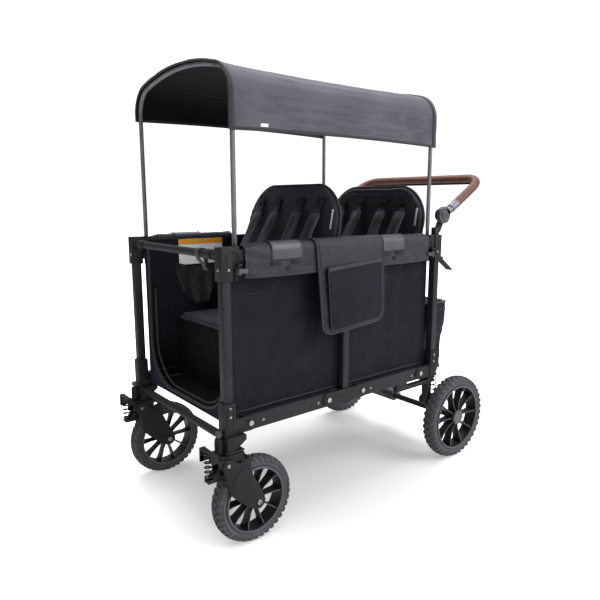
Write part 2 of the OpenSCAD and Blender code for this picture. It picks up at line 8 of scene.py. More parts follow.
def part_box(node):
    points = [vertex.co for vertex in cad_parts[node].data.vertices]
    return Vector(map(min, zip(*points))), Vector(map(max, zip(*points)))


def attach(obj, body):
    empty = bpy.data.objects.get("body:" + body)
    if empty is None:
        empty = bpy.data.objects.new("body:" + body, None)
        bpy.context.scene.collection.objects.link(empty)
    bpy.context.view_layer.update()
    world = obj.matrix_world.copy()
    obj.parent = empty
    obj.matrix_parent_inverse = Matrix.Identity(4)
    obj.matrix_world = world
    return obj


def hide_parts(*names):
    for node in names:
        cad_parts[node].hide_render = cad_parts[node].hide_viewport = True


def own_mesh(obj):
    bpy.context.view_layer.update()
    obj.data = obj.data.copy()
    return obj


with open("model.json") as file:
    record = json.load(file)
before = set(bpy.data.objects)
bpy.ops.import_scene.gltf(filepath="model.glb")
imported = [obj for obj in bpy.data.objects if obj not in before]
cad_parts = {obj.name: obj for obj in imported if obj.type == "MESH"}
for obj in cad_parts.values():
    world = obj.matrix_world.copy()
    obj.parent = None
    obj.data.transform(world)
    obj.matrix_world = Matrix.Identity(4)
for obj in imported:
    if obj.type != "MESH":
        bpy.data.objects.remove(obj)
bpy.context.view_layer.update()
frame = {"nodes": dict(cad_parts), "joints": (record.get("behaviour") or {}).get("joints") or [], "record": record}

print("frame loaded")

# Places that everything is built from, in metres, read from the wagon's own frame.
joints = {joint["name"]: joint for joint in frame["joints"]}


def pivotOf(name):
    return Vector(joints[name]["pos_m"])


def middleOf(node):
    low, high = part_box(node)
    return (low + high) / 2


def outerOf(node):
    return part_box(node)[1]


hingeX = middleOf("centre_posts").x
rearX = middleOf("rear_posts").x
frontX = middleOf("front_posts").x
postY = outerOf("rear_posts").y - 0.012
upperZ = pivotOf("fold_upper_rear").z
lowerZ = pivotOf("fold").z
wallY = outerOf("side_walls").y
nearFar = (("near", -1), ("far", 1))
frontRear = (("front", -1), ("rear", 1))


# Camera and studio.
cameraSet = {"place": (-1.2531, -1.4854, 0.9318), "yaw": 39.08, "pitch": 9.94, "lens": 34.12}
cameraData = bpy.data.cameras.new("camera")
cameraData.lens = cameraSet["lens"]
cameraData.sensor_width = 36
cameraData.clip_end = 60
camera = bpy.data.objects.new("camera", cameraData)
camera.location = cameraSet["place"]
camera.rotation_euler = (math.radians(90 - cameraSet["pitch"]), 0, -math.radians(cameraSet["yaw"]))
bpy.context.scene.collection.objects.link(camera)
bpy.context.scene.camera = camera
bpy.context.scene.view_settings.view_transform = "Standard"


# Small helpers.
def linearFrom(hexColour):
    channels = [int(hexColour[i:i + 2], 16) / 255 for i in (1, 3, 5)]
    bent = [c / 12.92 if c <= 0.04045 else ((c + 0.055) / 1.055) ** 2.4 for c in channels]
    return (*bent, 1)


def selectOnly(*pieces):
    if bpy.context.mode != "OBJECT":
        bpy.ops.object.mode_set(mode="OBJECT")
    bpy.ops.object.select_all(action="DESELECT")
    for piece in pieces:
        piece.select_set(True)
    bpy.context.view_layer.objects.active = pieces[0]


def useModifier(piece, kind, **settings):
    selectOnly(piece)
    modifier = piece.modifiers.new(kind.lower(), kind)
    for name, value in settings.items():
        setattr(modifier, name, value)
    bpy.ops.object.modifier_apply(modifier=modifier.name)


def easeEdges(piece, width, angle):
    # a small bevel along every edge that is sharper than the angle
    useModifier(piece, "BEVEL", width=width, segments=2, limit_method="ANGLE", angle_limit=math.radians(angle))


def smoothen(piece, angle):
    selectOnly(piece)
    bpy.ops.object.shade_smooth_by_angle(angle=math.radians(angle))


def joined(name, pieces):
    selectOnly(*pieces)
    if len(pieces) > 1:
        bpy.ops.object.join()
    whole = bpy.context.view_layer.objects.active
    whole.name = name
    return whole


def settle(piece):
    # the place, turn and scale go into the mesh, so the object stays at the origin
    selectOnly(piece)
    bpy.ops.object.transform_apply(location=True, rotation=True, scale=True)
    return piece


def pieceFrom(name, points, faces):
    mesh = bpy.data.meshes.new(name)
    mesh.from_pydata([tuple(p) for p in points], [], faces)
    mesh.update()
    piece = bpy.data.objects.new(name, mesh)
    bpy.context.scene.collection.objects.link(piece)
    return piece


def outwards(piece):
    selectOnly(piece)
    bpy.ops.object.mode_set(mode="EDIT")
    bpy.ops.mesh.select_all(action="SELECT")
    bpy.ops.mesh.remove_doubles(threshold=0.00001)
    bpy.ops.mesh.normals_make_consistent(inside=False)
    bpy.ops.object.mode_set(mode="OBJECT")
    return piece


def dress(piece, name, body, material, stands=()):
    piece.name = name
    piece.data.name = name
    if material is not None:
        piece.data.materials.clear()
        piece.data.materials.append(material)
    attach(piece, body)
    if stands:
        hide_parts(*stands)
    return piece


def dressJoined(parts, name, body, material, stands=()):
    return dress(joined(name, parts), name, body, material, stands)


def copyOf(piece, name):
    twin = bpy.data.objects.new(name, piece.data.copy())
    bpy.context.scene.collection.objects.link(twin)
    return twin


def mirroredCopy(piece, name):
    # the same piece on the wagon's other side
    twin = copyOf(piece, name)
    twin.data.transform(Matrix.Scale(-1, 4, (0, 1, 0)))
    twin.data.flip_normals()
    return twin


def shifted(piece, move):
    piece.data.transform(Matrix.Translation(move))
    return piece


def sampled(count, pointAt):
    # the points at even shares from 0 to 1
    return [pointAt(i / count) for i in range(count + 1)]


def facing(sign):
    # made to look towards -Y: turned round for the side at +Y
    return Matrix.Identity(4) if sign < 0 else Matrix.Rotation(math.pi, 4, "Z")


def between(low, high, share):
    return low + (high - low) * share


# Materials.
def addNode(tree, kind, settings=(), links=()):
    node = tree.nodes.new(kind)
    for name, value in dict(settings).items():
        if isinstance(name, str) and name.islower():
            setattr(node, name, value)
        else:
            node.inputs[name].default_value = value
    for name, source in dict(links).items():
        tree.links.new(source, node.inputs[name])
    return node


def freshMaterial(name):
    material = bpy.data.materials.new(name)
    material.use_nodes = True
    tree = material.node_tree
    tree.nodes.clear()
    return material, tree, addNode(tree, "ShaderNodeTexCoord").outputs["Object"]


def closeMaterial(tree, shaderSettings, shaderLinks):
    shader = addNode(tree, "ShaderNodeBsdfPrincipled", shaderSettings, shaderLinks)
    addNode(tree, "ShaderNodeOutputMaterial", {}, {"Surface": shader.outputs["BSDF"]})


def twoTone(tree, factor, darkHex, lightHex, low=0.3, high=0.7):
    ramp = addNode(tree, "ShaderNodeValToRGB", {}, {"Fac": factor})
    ramp.color_ramp.elements[0].position = low
    ramp.color_ramp.elements[0].color = linearFrom(darkHex)
    ramp.color_ramp.elements[1].position = high
    ramp.color_ramp.elements[1].color = linearFrom(lightHex)
    return ramp.outputs["Color"]


def moulded(name, darkHex, lightHex, roughness, grainMm, grainDepthMm, mottleMm=40, metallic=0.0,
            roughSpread=0.12, specular=0.5):
    material, tree, place = freshMaterial(name)
    grain = addNode(tree, "ShaderNodeTexNoise", {"Scale": 1000 / grainMm, "Detail": 2}, {"Vector": place})
    mottle = addNode(tree, "ShaderNodeTexNoise", {"Scale": 1000 / mottleMm, "Detail": 4}, {"Vector": place})
    colour = twoTone(tree, mottle.outputs["Fac"], darkHex, lightHex)
    rough = addNode(tree, "ShaderNodeMapRange",
                    {"From Min": 0.3, "From Max": 0.7, "To Min": roughness - roughSpread / 2,
                     "To Max": roughness + roughSpread / 2}, {"Value": mottle.outputs["Fac"]})
    bump = addNode(tree, "ShaderNodeBump", {"Strength": 0.6, "Distance": grainDepthMm / 1000},
                   {"Height": grain.outputs["Fac"]})
    closeMaterial(tree, {"Metallic": metallic, "Specular IOR Level": specular},
                  {"Base Color": colour, "Roughness": rough.outputs["Result"],
                   "Normal": bump.outputs["Normal"]})
    return material


def bandScale(spacingMm):
    # a wave texture repeats 20 / (2 pi) times in each unit of its scale
    return math.tau / 20 * 1000 / spacingMm


def woven(name, darkHex, lightHex, threadMm, depthMm, roughness, sheen, sheenHex, creaseMm=60, specular=0.14):
    # warp and weft bands along the three axes, so the threads run true on every flat panel
    material, tree, place = freshMaterial(name)
    total = None
    for axis in ("X", "Y", "Z"):
        band = addNode(tree, "ShaderNodeTexWave",
                       {"Scale": bandScale(threadMm), "Distortion": 0.6, "Detail Scale": 3.0},
                       {"Vector": place})
        band.bands_direction = axis
        if total is None:
            total = band.outputs["Fac"]
        else:
            total = addNode(tree, "ShaderNodeMath", {}, {0: total, 1: band.outputs["Fac"]}).outputs["Value"]
    crease = addNode(tree, "ShaderNodeTexNoise", {"Scale": 1000 / creaseMm, "Detail": 5, "Roughness": 0.55},
                     {"Vector": place})
    colour = twoTone(tree, crease.outputs["Fac"], darkHex, lightHex, 0.32, 0.68)
    shade = addNode(tree, "ShaderNodeMapRange",
                    {"From Min": 0.6, "From Max": 2.4, "To Min": 0.75, "To Max": 1.15}, {"Value": total})
    tinted = addNode(tree, "ShaderNodeVectorMath", {"operation": "SCALE"},
                     {0: colour, "Scale": shade.outputs["Result"]})
    bump = addNode(tree, "ShaderNodeBump", {"Strength": 0.5, "Distance": depthMm / 1000}, {"Height": total})
    soft = addNode(tree, "ShaderNodeBump", {"Strength": 0.55, "Distance": 0.006},
                   {"Height": crease.outputs["Fac"], "Normal": bump.outputs["Normal"]})
    closeMaterial(tree, {"Roughness": roughness, "Sheen Weight": sheen, "Sheen Roughness": 0.45,
                         "Sheen Tint": linearFrom(sheenHex), "Specular IOR Level": specular},
                  {"Base Color": tinted.outputs["Vector"], "Normal": soft.outputs["Normal"]})
    return material


def ribbed(name, darkHex, lightHex, ribMm, axis, roughness=0.75):
    # narrow woven tape, with cords across it
    material, tree, place = freshMaterial(name)
    band = addNode(tree, "ShaderNodeTexWave", {"Scale": bandScale(ribMm), "Distortion": 0.3}, {"Vector": place})
    band.bands_direction = axis
    colour = twoTone(tree, band.outputs["Fac"], darkHex, lightHex, 0.1, 0.9)
    bump = addNode(tree, "ShaderNodeBump", {"Strength": 0.6, "Distance": 0.0004},
                   {"Height": band.outputs["Fac"]})
    closeMaterial(tree, {"Roughness": roughness, "Sheen Weight": 0.25, "Sheen Roughness": 0.4},
                  {"Base Color": colour, "Normal": bump.outputs["Normal"]})
    return material


def shaderOf(material):
    return next(node for node in material.node_tree.nodes if node.type == "BSDF_PRINCIPLED")


def paintedShadeOnFlanks(material, darkHex):
    # faces that look along the axle keep the colour; faces that look sideways, the moulding's deep flanks, are
    # given a darker colour: painted shade
    tree = material.node_tree
    shader = shaderOf(material)
    source = shader.inputs["Base Color"].links[0].from_socket
    normal = addNode(tree, "ShaderNodeTexCoord").outputs["Normal"]
    along = addNode(tree, "ShaderNodeSeparateXYZ", {}, {"Vector": normal}).outputs["Y"]
    size = addNode(tree, "ShaderNodeMath", {"operation": "ABSOLUTE"}, {0: along}).outputs["Value"]
    share = addNode(tree, "ShaderNodeMapRange", {"From Min": 0.25, "From Max": 0.75}, {"Value": size})
    mix = addNode(tree, "ShaderNodeMixRGB", {"Color1": linearFrom(darkHex)},
                  {"Fac": share.outputs["Result"], "Color2": source})
    tree.links.new(mix.outputs["Color"], shader.inputs["Base Color"])


# Powder-coated aluminium, sprayed and baked: a dull charcoal skin with a fine orange-peel.
powderCoat = moulded("powderCoatedTube", "#202024", "#2b2b30", 0.5, 1.2, 0.06, specular=0.26)
# Glass-filled nylon, injection moulded: nearly black, with a fine spark-eroded grain.
glassNylon = moulded("glassFilledNylon", "#1b1b1f", "#252529", 0.54, 0.8, 0.08, specular=0.26)
# Satin polyamide, moulded: a greyer plastic with a soft shine for dials, levers and clamps.
satinNylon = moulded("satinPolyamide", "#434349", "#515157", 0.38, 0.9, 0.04)
# Nylon wheel, moulded: charcoal, slightly chalky from the tool.
wheelNylon = moulded("mouldedWheelNylon", "#4c4c51", "#5a5a60", 0.52, 1.0, 0.06)
# painted shade: the wheel's sideways-facing faces and barrel are given a near-black colour
paintedShadeOnFlanks(wheelNylon, "#1a1a1d")
# EVA foam tyre, expanded in a mould: dull dark grey with a dusty, open skin.
evaFoam = moulded("evaFoamTyre", "#4b4b4f", "#59595e", 0.78, 1.5, 0.15, 25, specular=0.3)
# Zinc-plated steel, barrel plated: bright grey with a faint yellow passivation.
zincSteel = moulded("zincPlatedSteel", "#9a958c", "#c4bfb4", 0.3, 0.6, 0.02, 12, metallic=1.0)
# Spring steel wire, e-coated: black with a satin shine.
springWire = moulded("coatedSpringWire", "#1e1e21", "#2a2a2e", 0.35, 0.8, 0.03, 15)
# Anodised aluminium pole, drawn: mid grey with a soft metal sheen.
anodisedPole = moulded("anodisedPole", "#77777b", "#88888d", 0.48, 0.8, 0.02, 60, metallic=0.6)
# Brushed aluminium collar, turned: a light grey ring.
bareAluminium = moulded("satinAluminium", "#6c6c77", "#82828d", 0.42, 0.5, 0.02, 20, metallic=0.6)
# Butyl rubber, moulded: the soft black of bump stops and flaps.
softRubber = moulded("softRubber", "#202023", "#2a2a2d", 0.7, 1.2, 0.08, 20, specular=0.3)
# Cowhide-look polyurethane, embossed: cognac brown with a pebble grain.
cognacLeather = moulded("embossedLeatherette", "#5c382d", "#754839", 0.5, 2.2, 0.35, 30, specular=0.4)
# 600-denier Oxford polyester, PU coated: near black with a cool cast.
# The threads of every cloth here are drawn coarser than real ones, so that they show.
oxfordCloth = woven("oxfordPolyester", "#121217", "#1b1b22", 1.6, 0.25, 0.66, 0.3, "#8484b4")
# The same cloth with its coating outwards: a soft shine along the crest of each rail.
coatedCloth = woven("coatedOxford", "#17171d", "#22222a", 1.6, 0.25, 0.46, 0.3, "#8484b4", 45, 0.42)
# The same cloth, made darker and duller for the unlit insides: painted shade.
shadedInsideCloth = woven("shadedInsidePolyester", "#101013", "#17171b", 1.6, 0.2, 0.85, 0.12, "#70707c")
# Knitted spacer mesh over foam: soft black with a light bloom.
seatCloth = woven("spacerMesh", "#36363d", "#45454d", 2.2, 0.4, 0.82, 0.35, "#9a9aa8")
# Air-mesh over foam, for the shoulder pads: a step lighter than the seats.
padCloth = woven("shoulderPadMesh", "#47474f", "#56565f", 1.8, 0.35, 0.8, 0.4, "#9a9aa8")
# 300-denier canopy polyester, UV coated: charcoal grey with a smooth face.
canopyCloth = woven("canopyPolyester", "#55545d", "#605f68", 1.4, 0.15, 0.66, 0.26, "#b0b0bd", 120)
# Grosgrain tape, woven: a dark edge binding with cross ribs.
bindingTape = ribbed("grosgrainTape", "#222227", "#303036", 2.2, "X")
# Nylon seat webbing, woven: dense cross ribs with a slight shine.
harnessWebbing = ribbed("nylonWebbing", "#1a1a1d", "#26262a", 2.6, "Z", 0.6)
# Polyester sewing thread.
sewingThread = moulded("sewingThread", "#46464e", "#55555e", 0.8, 0.6, 0.05, 5)
# Satin-woven label stock, plain.
whiteLabel = moulded("satinLabel", "#f0f0f4", "#fafafc", 0.6, 1.2, 0.05, 8)
# Screen-printed label band, plain.
orangeLabel = moulded("printedLabelBand", "#f39c12", "#f9ad2c", 0.55, 1.2, 0.05, 8)
# Glass-bead reflective tape: pale grey.
reflectiveTape = moulded("reflectiveTape", "#8f9696", "#b4bcbc", 0.35, 0.7, 0.04, 6, metallic=0.3)
# Painted studio floor.
studioFloor = moulded("paintedFloor", "#f2f2f2", "#f5f5f5", 0.9, 30, 0.01, 900, specular=0.1)
print("materials made")


# Studio.
studio = {"floorWidth": 30, "glowFrom": 0.35, "glowTo": 1.1, "glowNear": 0.2, "glowFar": 1.4,
          "skySide": (0.58, -0.42, 0.70), "skySeen": 1.15, "skyBright": 0.72, "skyDim": 0.20,
          "keyPlace": (1.5, -3.1, 2.5), "keySize": 2.6, "keyPower": 88,
          "topPlace": (0.2, 0.6, 3.2), "topSize": 3.0, "topPower": 95}
bpy.ops.object.select_all(action="DESELECT")
bpy.ops.mesh.primitive_grid_add(x_subdivisions=12, y_subdivisions=12, size=studio["floorWidth"])
floor = settle(bpy.context.object)
floor.name = "studioFloor"
floor.data.materials.append(studioFloor)


def floorGlow():
    # the floor brightens away from the wagon, for the camera only
    tree = studioFloor.node_tree
    shader = shaderOf(studioFloor)
    ground = addNode(tree, "ShaderNodeTexCoord").outputs["Object"]
    reach = addNode(tree, "ShaderNodeVectorMath", {"operation": "LENGTH"}, {0: ground}).outputs["Value"]
    glow = addNode(tree, "ShaderNodeMapRange",
                   {"interpolation_type": "SMOOTHSTEP", "From Min": studio["glowFrom"],
                    "From Max": studio["glowTo"], "To Min": studio["glowNear"], "To Max": studio["glowFar"]},
                   {"Value": reach})
    rays = addNode(tree, "ShaderNodeLightPath")
    onlySeen = addNode(tree, "ShaderNodeMath", {"operation": "MULTIPLY"},
                       {0: glow.outputs["Result"], 1: rays.outputs["Is Camera Ray"]})
    shader.inputs["Emission Color"].default_value = (1, 1, 1, 1)
    tree.links.new(onlySeen.outputs["Value"], shader.inputs["Emission Strength"])


def studioSky():
    # the backdrop is seen as white, and lights the wagon less than it shows
    world = bpy.data.worlds.new("studioSky")
    world.use_nodes = True
    tree = world.node_tree
    seen = tree.nodes["Background"]
    seen.inputs["Color"].default_value = (1, 1, 1, 1)
    seen.inputs["Strength"].default_value = studio["skySeen"]
    where = addNode(tree, "ShaderNodeTexCoord").outputs["Generated"]
    towards = addNode(tree, "ShaderNodeVectorMath", {"operation": "DOT_PRODUCT", 1: studio["skySide"]},
                      {0: where})
    fade = addNode(tree, "ShaderNodeMapRange", {"From Min": -0.6, "To Min": studio["skyDim"]},
                   {"Value": towards.outputs["Value"]})
    lights = addNode(tree, "ShaderNodeBackground", {"Strength": studio["skyBright"]},
                     {"Color": fade.outputs["Result"]})
    rays = addNode(tree, "ShaderNodeLightPath")
    choice = addNode(tree, "ShaderNodeMixShader", {},
                     {"Fac": rays.outputs["Is Camera Ray"], 1: lights.outputs["Background"],
                      2: seen.outputs["Background"]})
    tree.links.new(choice.outputs["Shader"], tree.nodes["World Output"].inputs["Surface"])
    bpy.context.scene.world = world


floorGlow()
studioSky()


def softBox(name, place, size, power):
    data = bpy.data.lights.new(name, "AREA")
    data.size = size
    data.energy = power
    light = bpy.data.objects.new(name, data)
    light.location = place
    light.rotation_euler = (Vector((0, 0, 0.5)) - Vector(place)).to_track_quat("-Z", "Y").to_euler()
    bpy.context.scene.collection.objects.link(light)


softBox("keyLight", studio["keyPlace"], studio["keySize"], studio["keyPower"])
softBox("topLight", studio["topPlace"], studio["topSize"], studio["topPower"])
print("studio set")


# Frame parts with rounded edges.
def softened(node, body, material, width):
    # the part's own shape, merged and with its edges eased as the real casting has them
    piece = bpy.data.objects.new(node + "Eased", frame["nodes"][node].data.copy())
    bpy.context.scene.collection.objects.link(piece)
    selectOnly(piece)
    bpy.ops.object.mode_set(mode="EDIT")
    bpy.ops.mesh.select_all(action="SELECT")
    bpy.ops.mesh.remove_doubles(threshold=0.00002)
    bpy.ops.mesh.dissolve_limited(angle_limit=math.radians(1))
    bpy.ops.object.mode_set(mode="OBJECT")
    easeEdges(piece, width, 30)
    smoothen(piece, 40)
    return dress(piece, node + "Eased", body, material, [node])


tubeEase = 0.0022
castEase = 0.0012
mouldEase = 0.0016
bodyOf = {node: body for body, nodes in frame["record"]["behaviour"]["bodies"].items() for node in nodes}
coatedTubes = ["rear_posts", "front_posts", "rear_legs", "centre_posts", "lower_rear_rails",
               "lower_front_rails", "upper_rear_rails", "upper_front_rails"]
castings = ["rear_top_brackets", "rear_bottom_brackets", "front_top_brackets", "front_bottom_brackets",
            "rear_swing_arms", "mid_plates"]
for node in coatedTubes:
    softened(node, bodyOf[node], powderCoat, tubeEase)
eased = {node: softened(node, bodyOf[node], glassNylon, castEase) for node in castings}


def cutBelow(piece, height):
    # what lies below this height is left out
    selectOnly(piece)
    bpy.ops.object.mode_set(mode="EDIT")
    bpy.ops.mesh.select_all(action="SELECT")
    bpy.ops.mesh.bisect(plane_co=(0, 0, height), plane_no=(0, 0, 1), use_fill=True, clear_inner=True)
    bpy.ops.object.mode_set(mode="OBJECT")
    return piece


socketFoot = 0.729
for node in ("rear_top_brackets", "front_top_brackets"):
    cutBelow(eased[node], socketFoot)
for node in ("front_hoop", "rear_hoop"):
    pole = copyOf(frame["nodes"][node], node + "Drawn")
    outwards(pole)
    smoothen(cutBelow(pole, socketFoot + 0.008), 60)
    dress(pole, node + "Drawn", bodyOf[node], anodisedPole, [node])
plainFinish = {"rear_bars": powderCoat, "front_bars": powderCoat, "rear_axle": powderCoat,
               "handle_bar": bareAluminium, "rear_pivot_bolts": zincSteel, "front_pivot_bolts": zincSteel,
               "mid_pivot_bolts": zincSteel}
for node, material in plainFinish.items():
    part = frame["nodes"][node]
    part.data.materials.clear()
    part.data.materials.append(material)
for side, _ in nearFar:
    softened("dial_button_" + side, "dial_button_" + side, satinNylon, 0.0028)
    for end, _ in frontRear:
        lever = "lever_" + end + "_" + side
        softened(lever, lever, satinNylon, mouldEase)
softened("handle_dials", "handle", satinNylon, 0.002)
softened("brake_pedal", "brake_pedal", satinNylon, 0.002)
softened("fold_latch", "fold_latch", softRubber, 0.0018)
print("frame parts eased")


# Ways of making shapes.
def outlinePiece(name, outline, low, high, ease=0.0, axis="Y"):
    # a flat outline, pulled out along one axis, with its edges eased
    bpy.ops.object.select_all(action="DESELECT")
    bpy.ops.mesh.primitive_circle_add(vertices=len(outline), radius=1, fill_type="NGON")
    piece = bpy.context.object
    piece.name = name
    order = {"X": (1, 2, 0), "Y": (0, 2, 1), "Z": (0, 1, 2)}[axis]
    for vertex, point in zip(piece.data.vertices, outline):
        place = [0, 0, 0]
        place[order[0]], place[order[1]], place[order[2]] = point[0], point[1], low
        vertex.co = place
    move = [0, 0, 0]
    move[order[2]] = high - low
    bpy.ops.object.mode_set(mode="EDIT")
    bpy.ops.mesh.select_all(action="SELECT")
    bpy.ops.mesh.extrude_region_move(TRANSFORM_OT_translate={"value": move})
    bpy.ops.object.mode_set(mode="OBJECT")
    outwards(piece)
    if ease:
        easeEdges(piece, ease, 28)
    smoothen(piece, 38)
    return piece


def turned(name, profile, steps=72):
    # a closed profile of (radius, along) points, spun round the Y axis
    bpy.ops.object.select_all(action="DESELECT")
    bpy.ops.mesh.primitive_circle_add(vertices=len(profile), radius=1, fill_type="NOTHING")
    piece = bpy.context.object
    piece.name = name
    for vertex, (radius, along) in zip(piece.data.vertices, profile):
        vertex.co = (radius, along, 0)
    bpy.ops.object.mode_set(mode="EDIT")
    bpy.ops.mesh.select_all(action="SELECT")
    bpy.ops.mesh.spin(steps=steps, angle=math.tau, center=(0, 0, 0), axis=(0, 1, 0))
    bpy.ops.object.mode_set(mode="OBJECT")
    outwards(piece)
    smoothen(piece, 32)
    return piece


def repeated(name, piece, places):
    # one mesh that holds the piece at every place; the pattern piece goes
    mesh = bpy.data.meshes.new(name)
    whole = bmesh.new()
    for place in places:
        start = len(whole.verts)
        whole.from_mesh(piece.data)
        whole.verts.ensure_lookup_table()
        bmesh.ops.transform(whole, matrix=place, verts=whole.verts[start:])
    whole.to_mesh(mesh)
    whole.free()
    for material in piece.data.materials:
        mesh.materials.append(material)
    bpy.data.objects.remove(piece)
    made = bpy.data.objects.new(name, mesh)
    bpy.context.scene.collection.objects.link(made)
    smoothen(made, 38)
    return made


def tubeAlong(name, path, radius, sides=8, closed=False):
    # a round cord or piping along a path of points
    curve = bpy.data.curves.new(name, "CURVE")
    curve.dimensions = "3D"
    curve.bevel_depth = radius
    curve.bevel_resolution = max(1, sides // 4)
    curve.use_fill_caps = not closed
    spline = curve.splines.new("POLY")
    spline.points.add(len(path) - 1)
    for point, place in zip(spline.points, path):
        point.co = (*place, 1)
    spline.use_cyclic_u = closed
    piece = bpy.data.objects.new(name, curve)
    bpy.context.scene.collection.objects.link(piece)
    selectOnly(piece)
    bpy.ops.object.convert(target="MESH")
    piece = bpy.context.object
    outwards(piece)
    smoothen(piece, 50)
    return piece


def ribbonAlong(name, path, across, width, thick, ease=0.0006):
    # flat webbing or tape; across gives its width direction, one for the whole path or one for each point
    path = [Vector(p) for p in path]
    acrossAll = [Vector(a).normalized() for a in across] if hasattr(across[0], "__len__") else \
        [Vector(across).normalized()] * len(path)
    points = []
    for i, centre in enumerate(path):
        ahead = path[min(i + 1, len(path) - 1)] - path[max(i - 1, 0)]
        up = acrossAll[i].cross(ahead).normalized() * thick / 2
        side = acrossAll[i] * width / 2
        points += [centre - side - up, centre + side - up, centre + side + up, centre - side + up]
    faces = [(4 * i + k, 4 * i + (k + 1) % 4, 4 * i + 4 + (k + 1) % 4, 4 * i + 4 + k)
             for i in range(len(path) - 1) for k in range(4)]
    last = 4 * len(path) - 4
    faces += [(3, 2, 1, 0), (last, last + 1, last + 2, last + 3)]
    piece = outwards(pieceFrom(name, points, faces))
    if ease:
        easeEdges(piece, min(ease, thick * 0.4), 50)
    smoothen(piece, 50)
    return piece


def clothPanel(name, columns, rows, placeAt, thick=0.0, offset=0.0, innerMaterial=False):
    # a grid whose points are put where placeAt(u, v) says, u and v from 0 to 1
    bpy.ops.object.select_all(action="DESELECT")
    bpy.ops.mesh.primitive_grid_add(x_subdivisions=columns, y_subdivisions=rows, size=1)
    piece = bpy.context.object
    piece.name = name
    for vertex in piece.data.vertices:
        vertex.co = placeAt(vertex.co.x + 0.5, vertex.co.y + 0.5)
    smoothen(piece, 60)
    if thick:
        useModifier(piece, "SOLIDIFY", thickness=thick, offset=offset, material_offset=int(innerMaterial))
    return piece


def sewnPanel(name, columns, rows, placeAt, thick=0.0, offset=0.0):
    panel = outwards(clothPanel(name, columns, rows, placeAt, thick, offset))
    smoothen(panel, 60)
    return panel


def roundedCube(name, low, high, ease, segments=3):
    bpy.ops.object.select_all(action="DESELECT")
    low, high = Vector(low), Vector(high)
    bpy.ops.mesh.primitive_cube_add(size=1, location=(low + high) / 2, scale=high - low)
    piece = settle(bpy.context.object)
    piece.name = name
    useModifier(piece, "BEVEL", width=ease, segments=segments)
    smoothen(piece, 40)
    return piece


def boxAt(name, centre, low, high, ease):
    return roundedCube(name, centre + Vector(low), centre + Vector(high), ease)


def ripple(x, y, seed, size):
    # smooth wandering folds, from -1 to 1; size is the width of a fold in metres
    return noise.fractal(Vector((x / size, y / size, seed * 7.3)), 1.0, 2.0, 3)


def stitchesAlong(name, path, pitch=0.006, length=0.004, thick=0.0009):
    # separate raised stitches along a line
    path = [Vector(p) for p in path]
    steps = [(b - a).length for a, b in zip(path, path[1:])]
    bpy.ops.object.select_all(action="DESELECT")
    bpy.ops.mesh.primitive_uv_sphere_add(segments=6, ring_count=4, radius=0.5)
    stitch = bpy.context.object
    stitch.scale = (length, thick, thick)
    settle(stitch)
    places = []
    along = pitch / 2
    for start, end, step in zip(path, path[1:], steps):
        while along < step:
            direction = (end - start).normalized()
            turn = direction.to_track_quat("X", "Z").to_matrix().to_4x4()
            places.append(Matrix.Translation(start + direction * along) @ turn)
            along += pitch
        along -= step
    piece = repeated(name, stitch, places)
    piece.data.materials.clear()
    piece.data.materials.append(sewingThread)
    return piece


# Screws.
def sleeveProfile(bore, radius, half, ease):
    # a plain sleeve's section, its outer edges eased
    return [(bore, -half), (radius - 0.001, -half), (radius, -half + ease), (radius, half - ease),
            (radius - 0.001, half), (bore, half)]


def buttonScrew(name, radius):
    # a domed head with a hexagon socket, facing -Y
    r = radius
    head = turned(name, [(0.00001, -0.2 * r), (0.42 * r, -0.2 * r), (0.45 * r, -0.62 * r), (0.75 * r, -0.5 * r),
                         (r, -0.1 * r), (r, 0.1 * r), (0.00001, 0.1 * r)], 24)
    head.data.materials.append(zincSteel)
    return head


def screwsAt(name, body, radius, places):
    # each place is a matrix that turns and moves one screw
    screws = repeated(name, buttonScrew(name + "Pattern", radius), places)
    return dress(screws, name, body, zincSteel)


# Wheels.
wheelShape = {"treadDepth": 0.0044, "blocks": 38, "spokes": 10, "bladeThick": 0.0034, "halfWidth": 0.025}


def tyreMesh(name, radius, bead):
    half = wheelShape["halfWidth"]
    base = radius - wheelShape["treadDepth"]
    side = [(bead, half - 0.006), (bead + 0.004, half - 0.0035), (bead + (radius - bead) * 0.42, half - 0.0015),
            (bead + (radius - bead) * 0.47, half - 0.0032), (bead + (radius - bead) * 0.52, half - 0.0008),
            (base - 0.0085, half - 0.001), (base - 0.0035, half - 0.0055), (base, half - 0.012)]
    profile = side + [(base + 0.0012, 0.0)] + [(r, -y) for r, y in reversed(side)]
    carcass = turned(name + "Carcass", profile, 96)
    block = roundedCube(name + "Block", (-0.0062, -0.0085, -0.004), (0.0062, 0.0085, 0.0045), 0.0016, 2)
    # each row of lugs: how far across, tilt, skew, how far round, and how deep in
    rows = ((-0.0155, 24, 18, 0.0, 0.0078), (0.0, 0, 0, 0.5, 0.0045), (0.0155, -24, -18, 0.0, 0.0078))
    places = []
    count = wheelShape["blocks"]
    for i in range(count):
        for y, tilt, skew, shift, deep in rows:
            turn = math.tau * (i + shift) / count
            lift = radius - deep
            places.append(Matrix.Rotation(turn, 4, "Y") @ Matrix.Translation((0, y, lift))
                          @ Matrix.Rotation(math.radians(tilt), 4, "X")
                          @ Matrix.Rotation(math.radians(skew), 4, "Z"))
    blocks = repeated(name + "Blocks", block, places)
    piece = joined(name, [carcass, blocks])
    smoothen(piece, 38)
    return piece


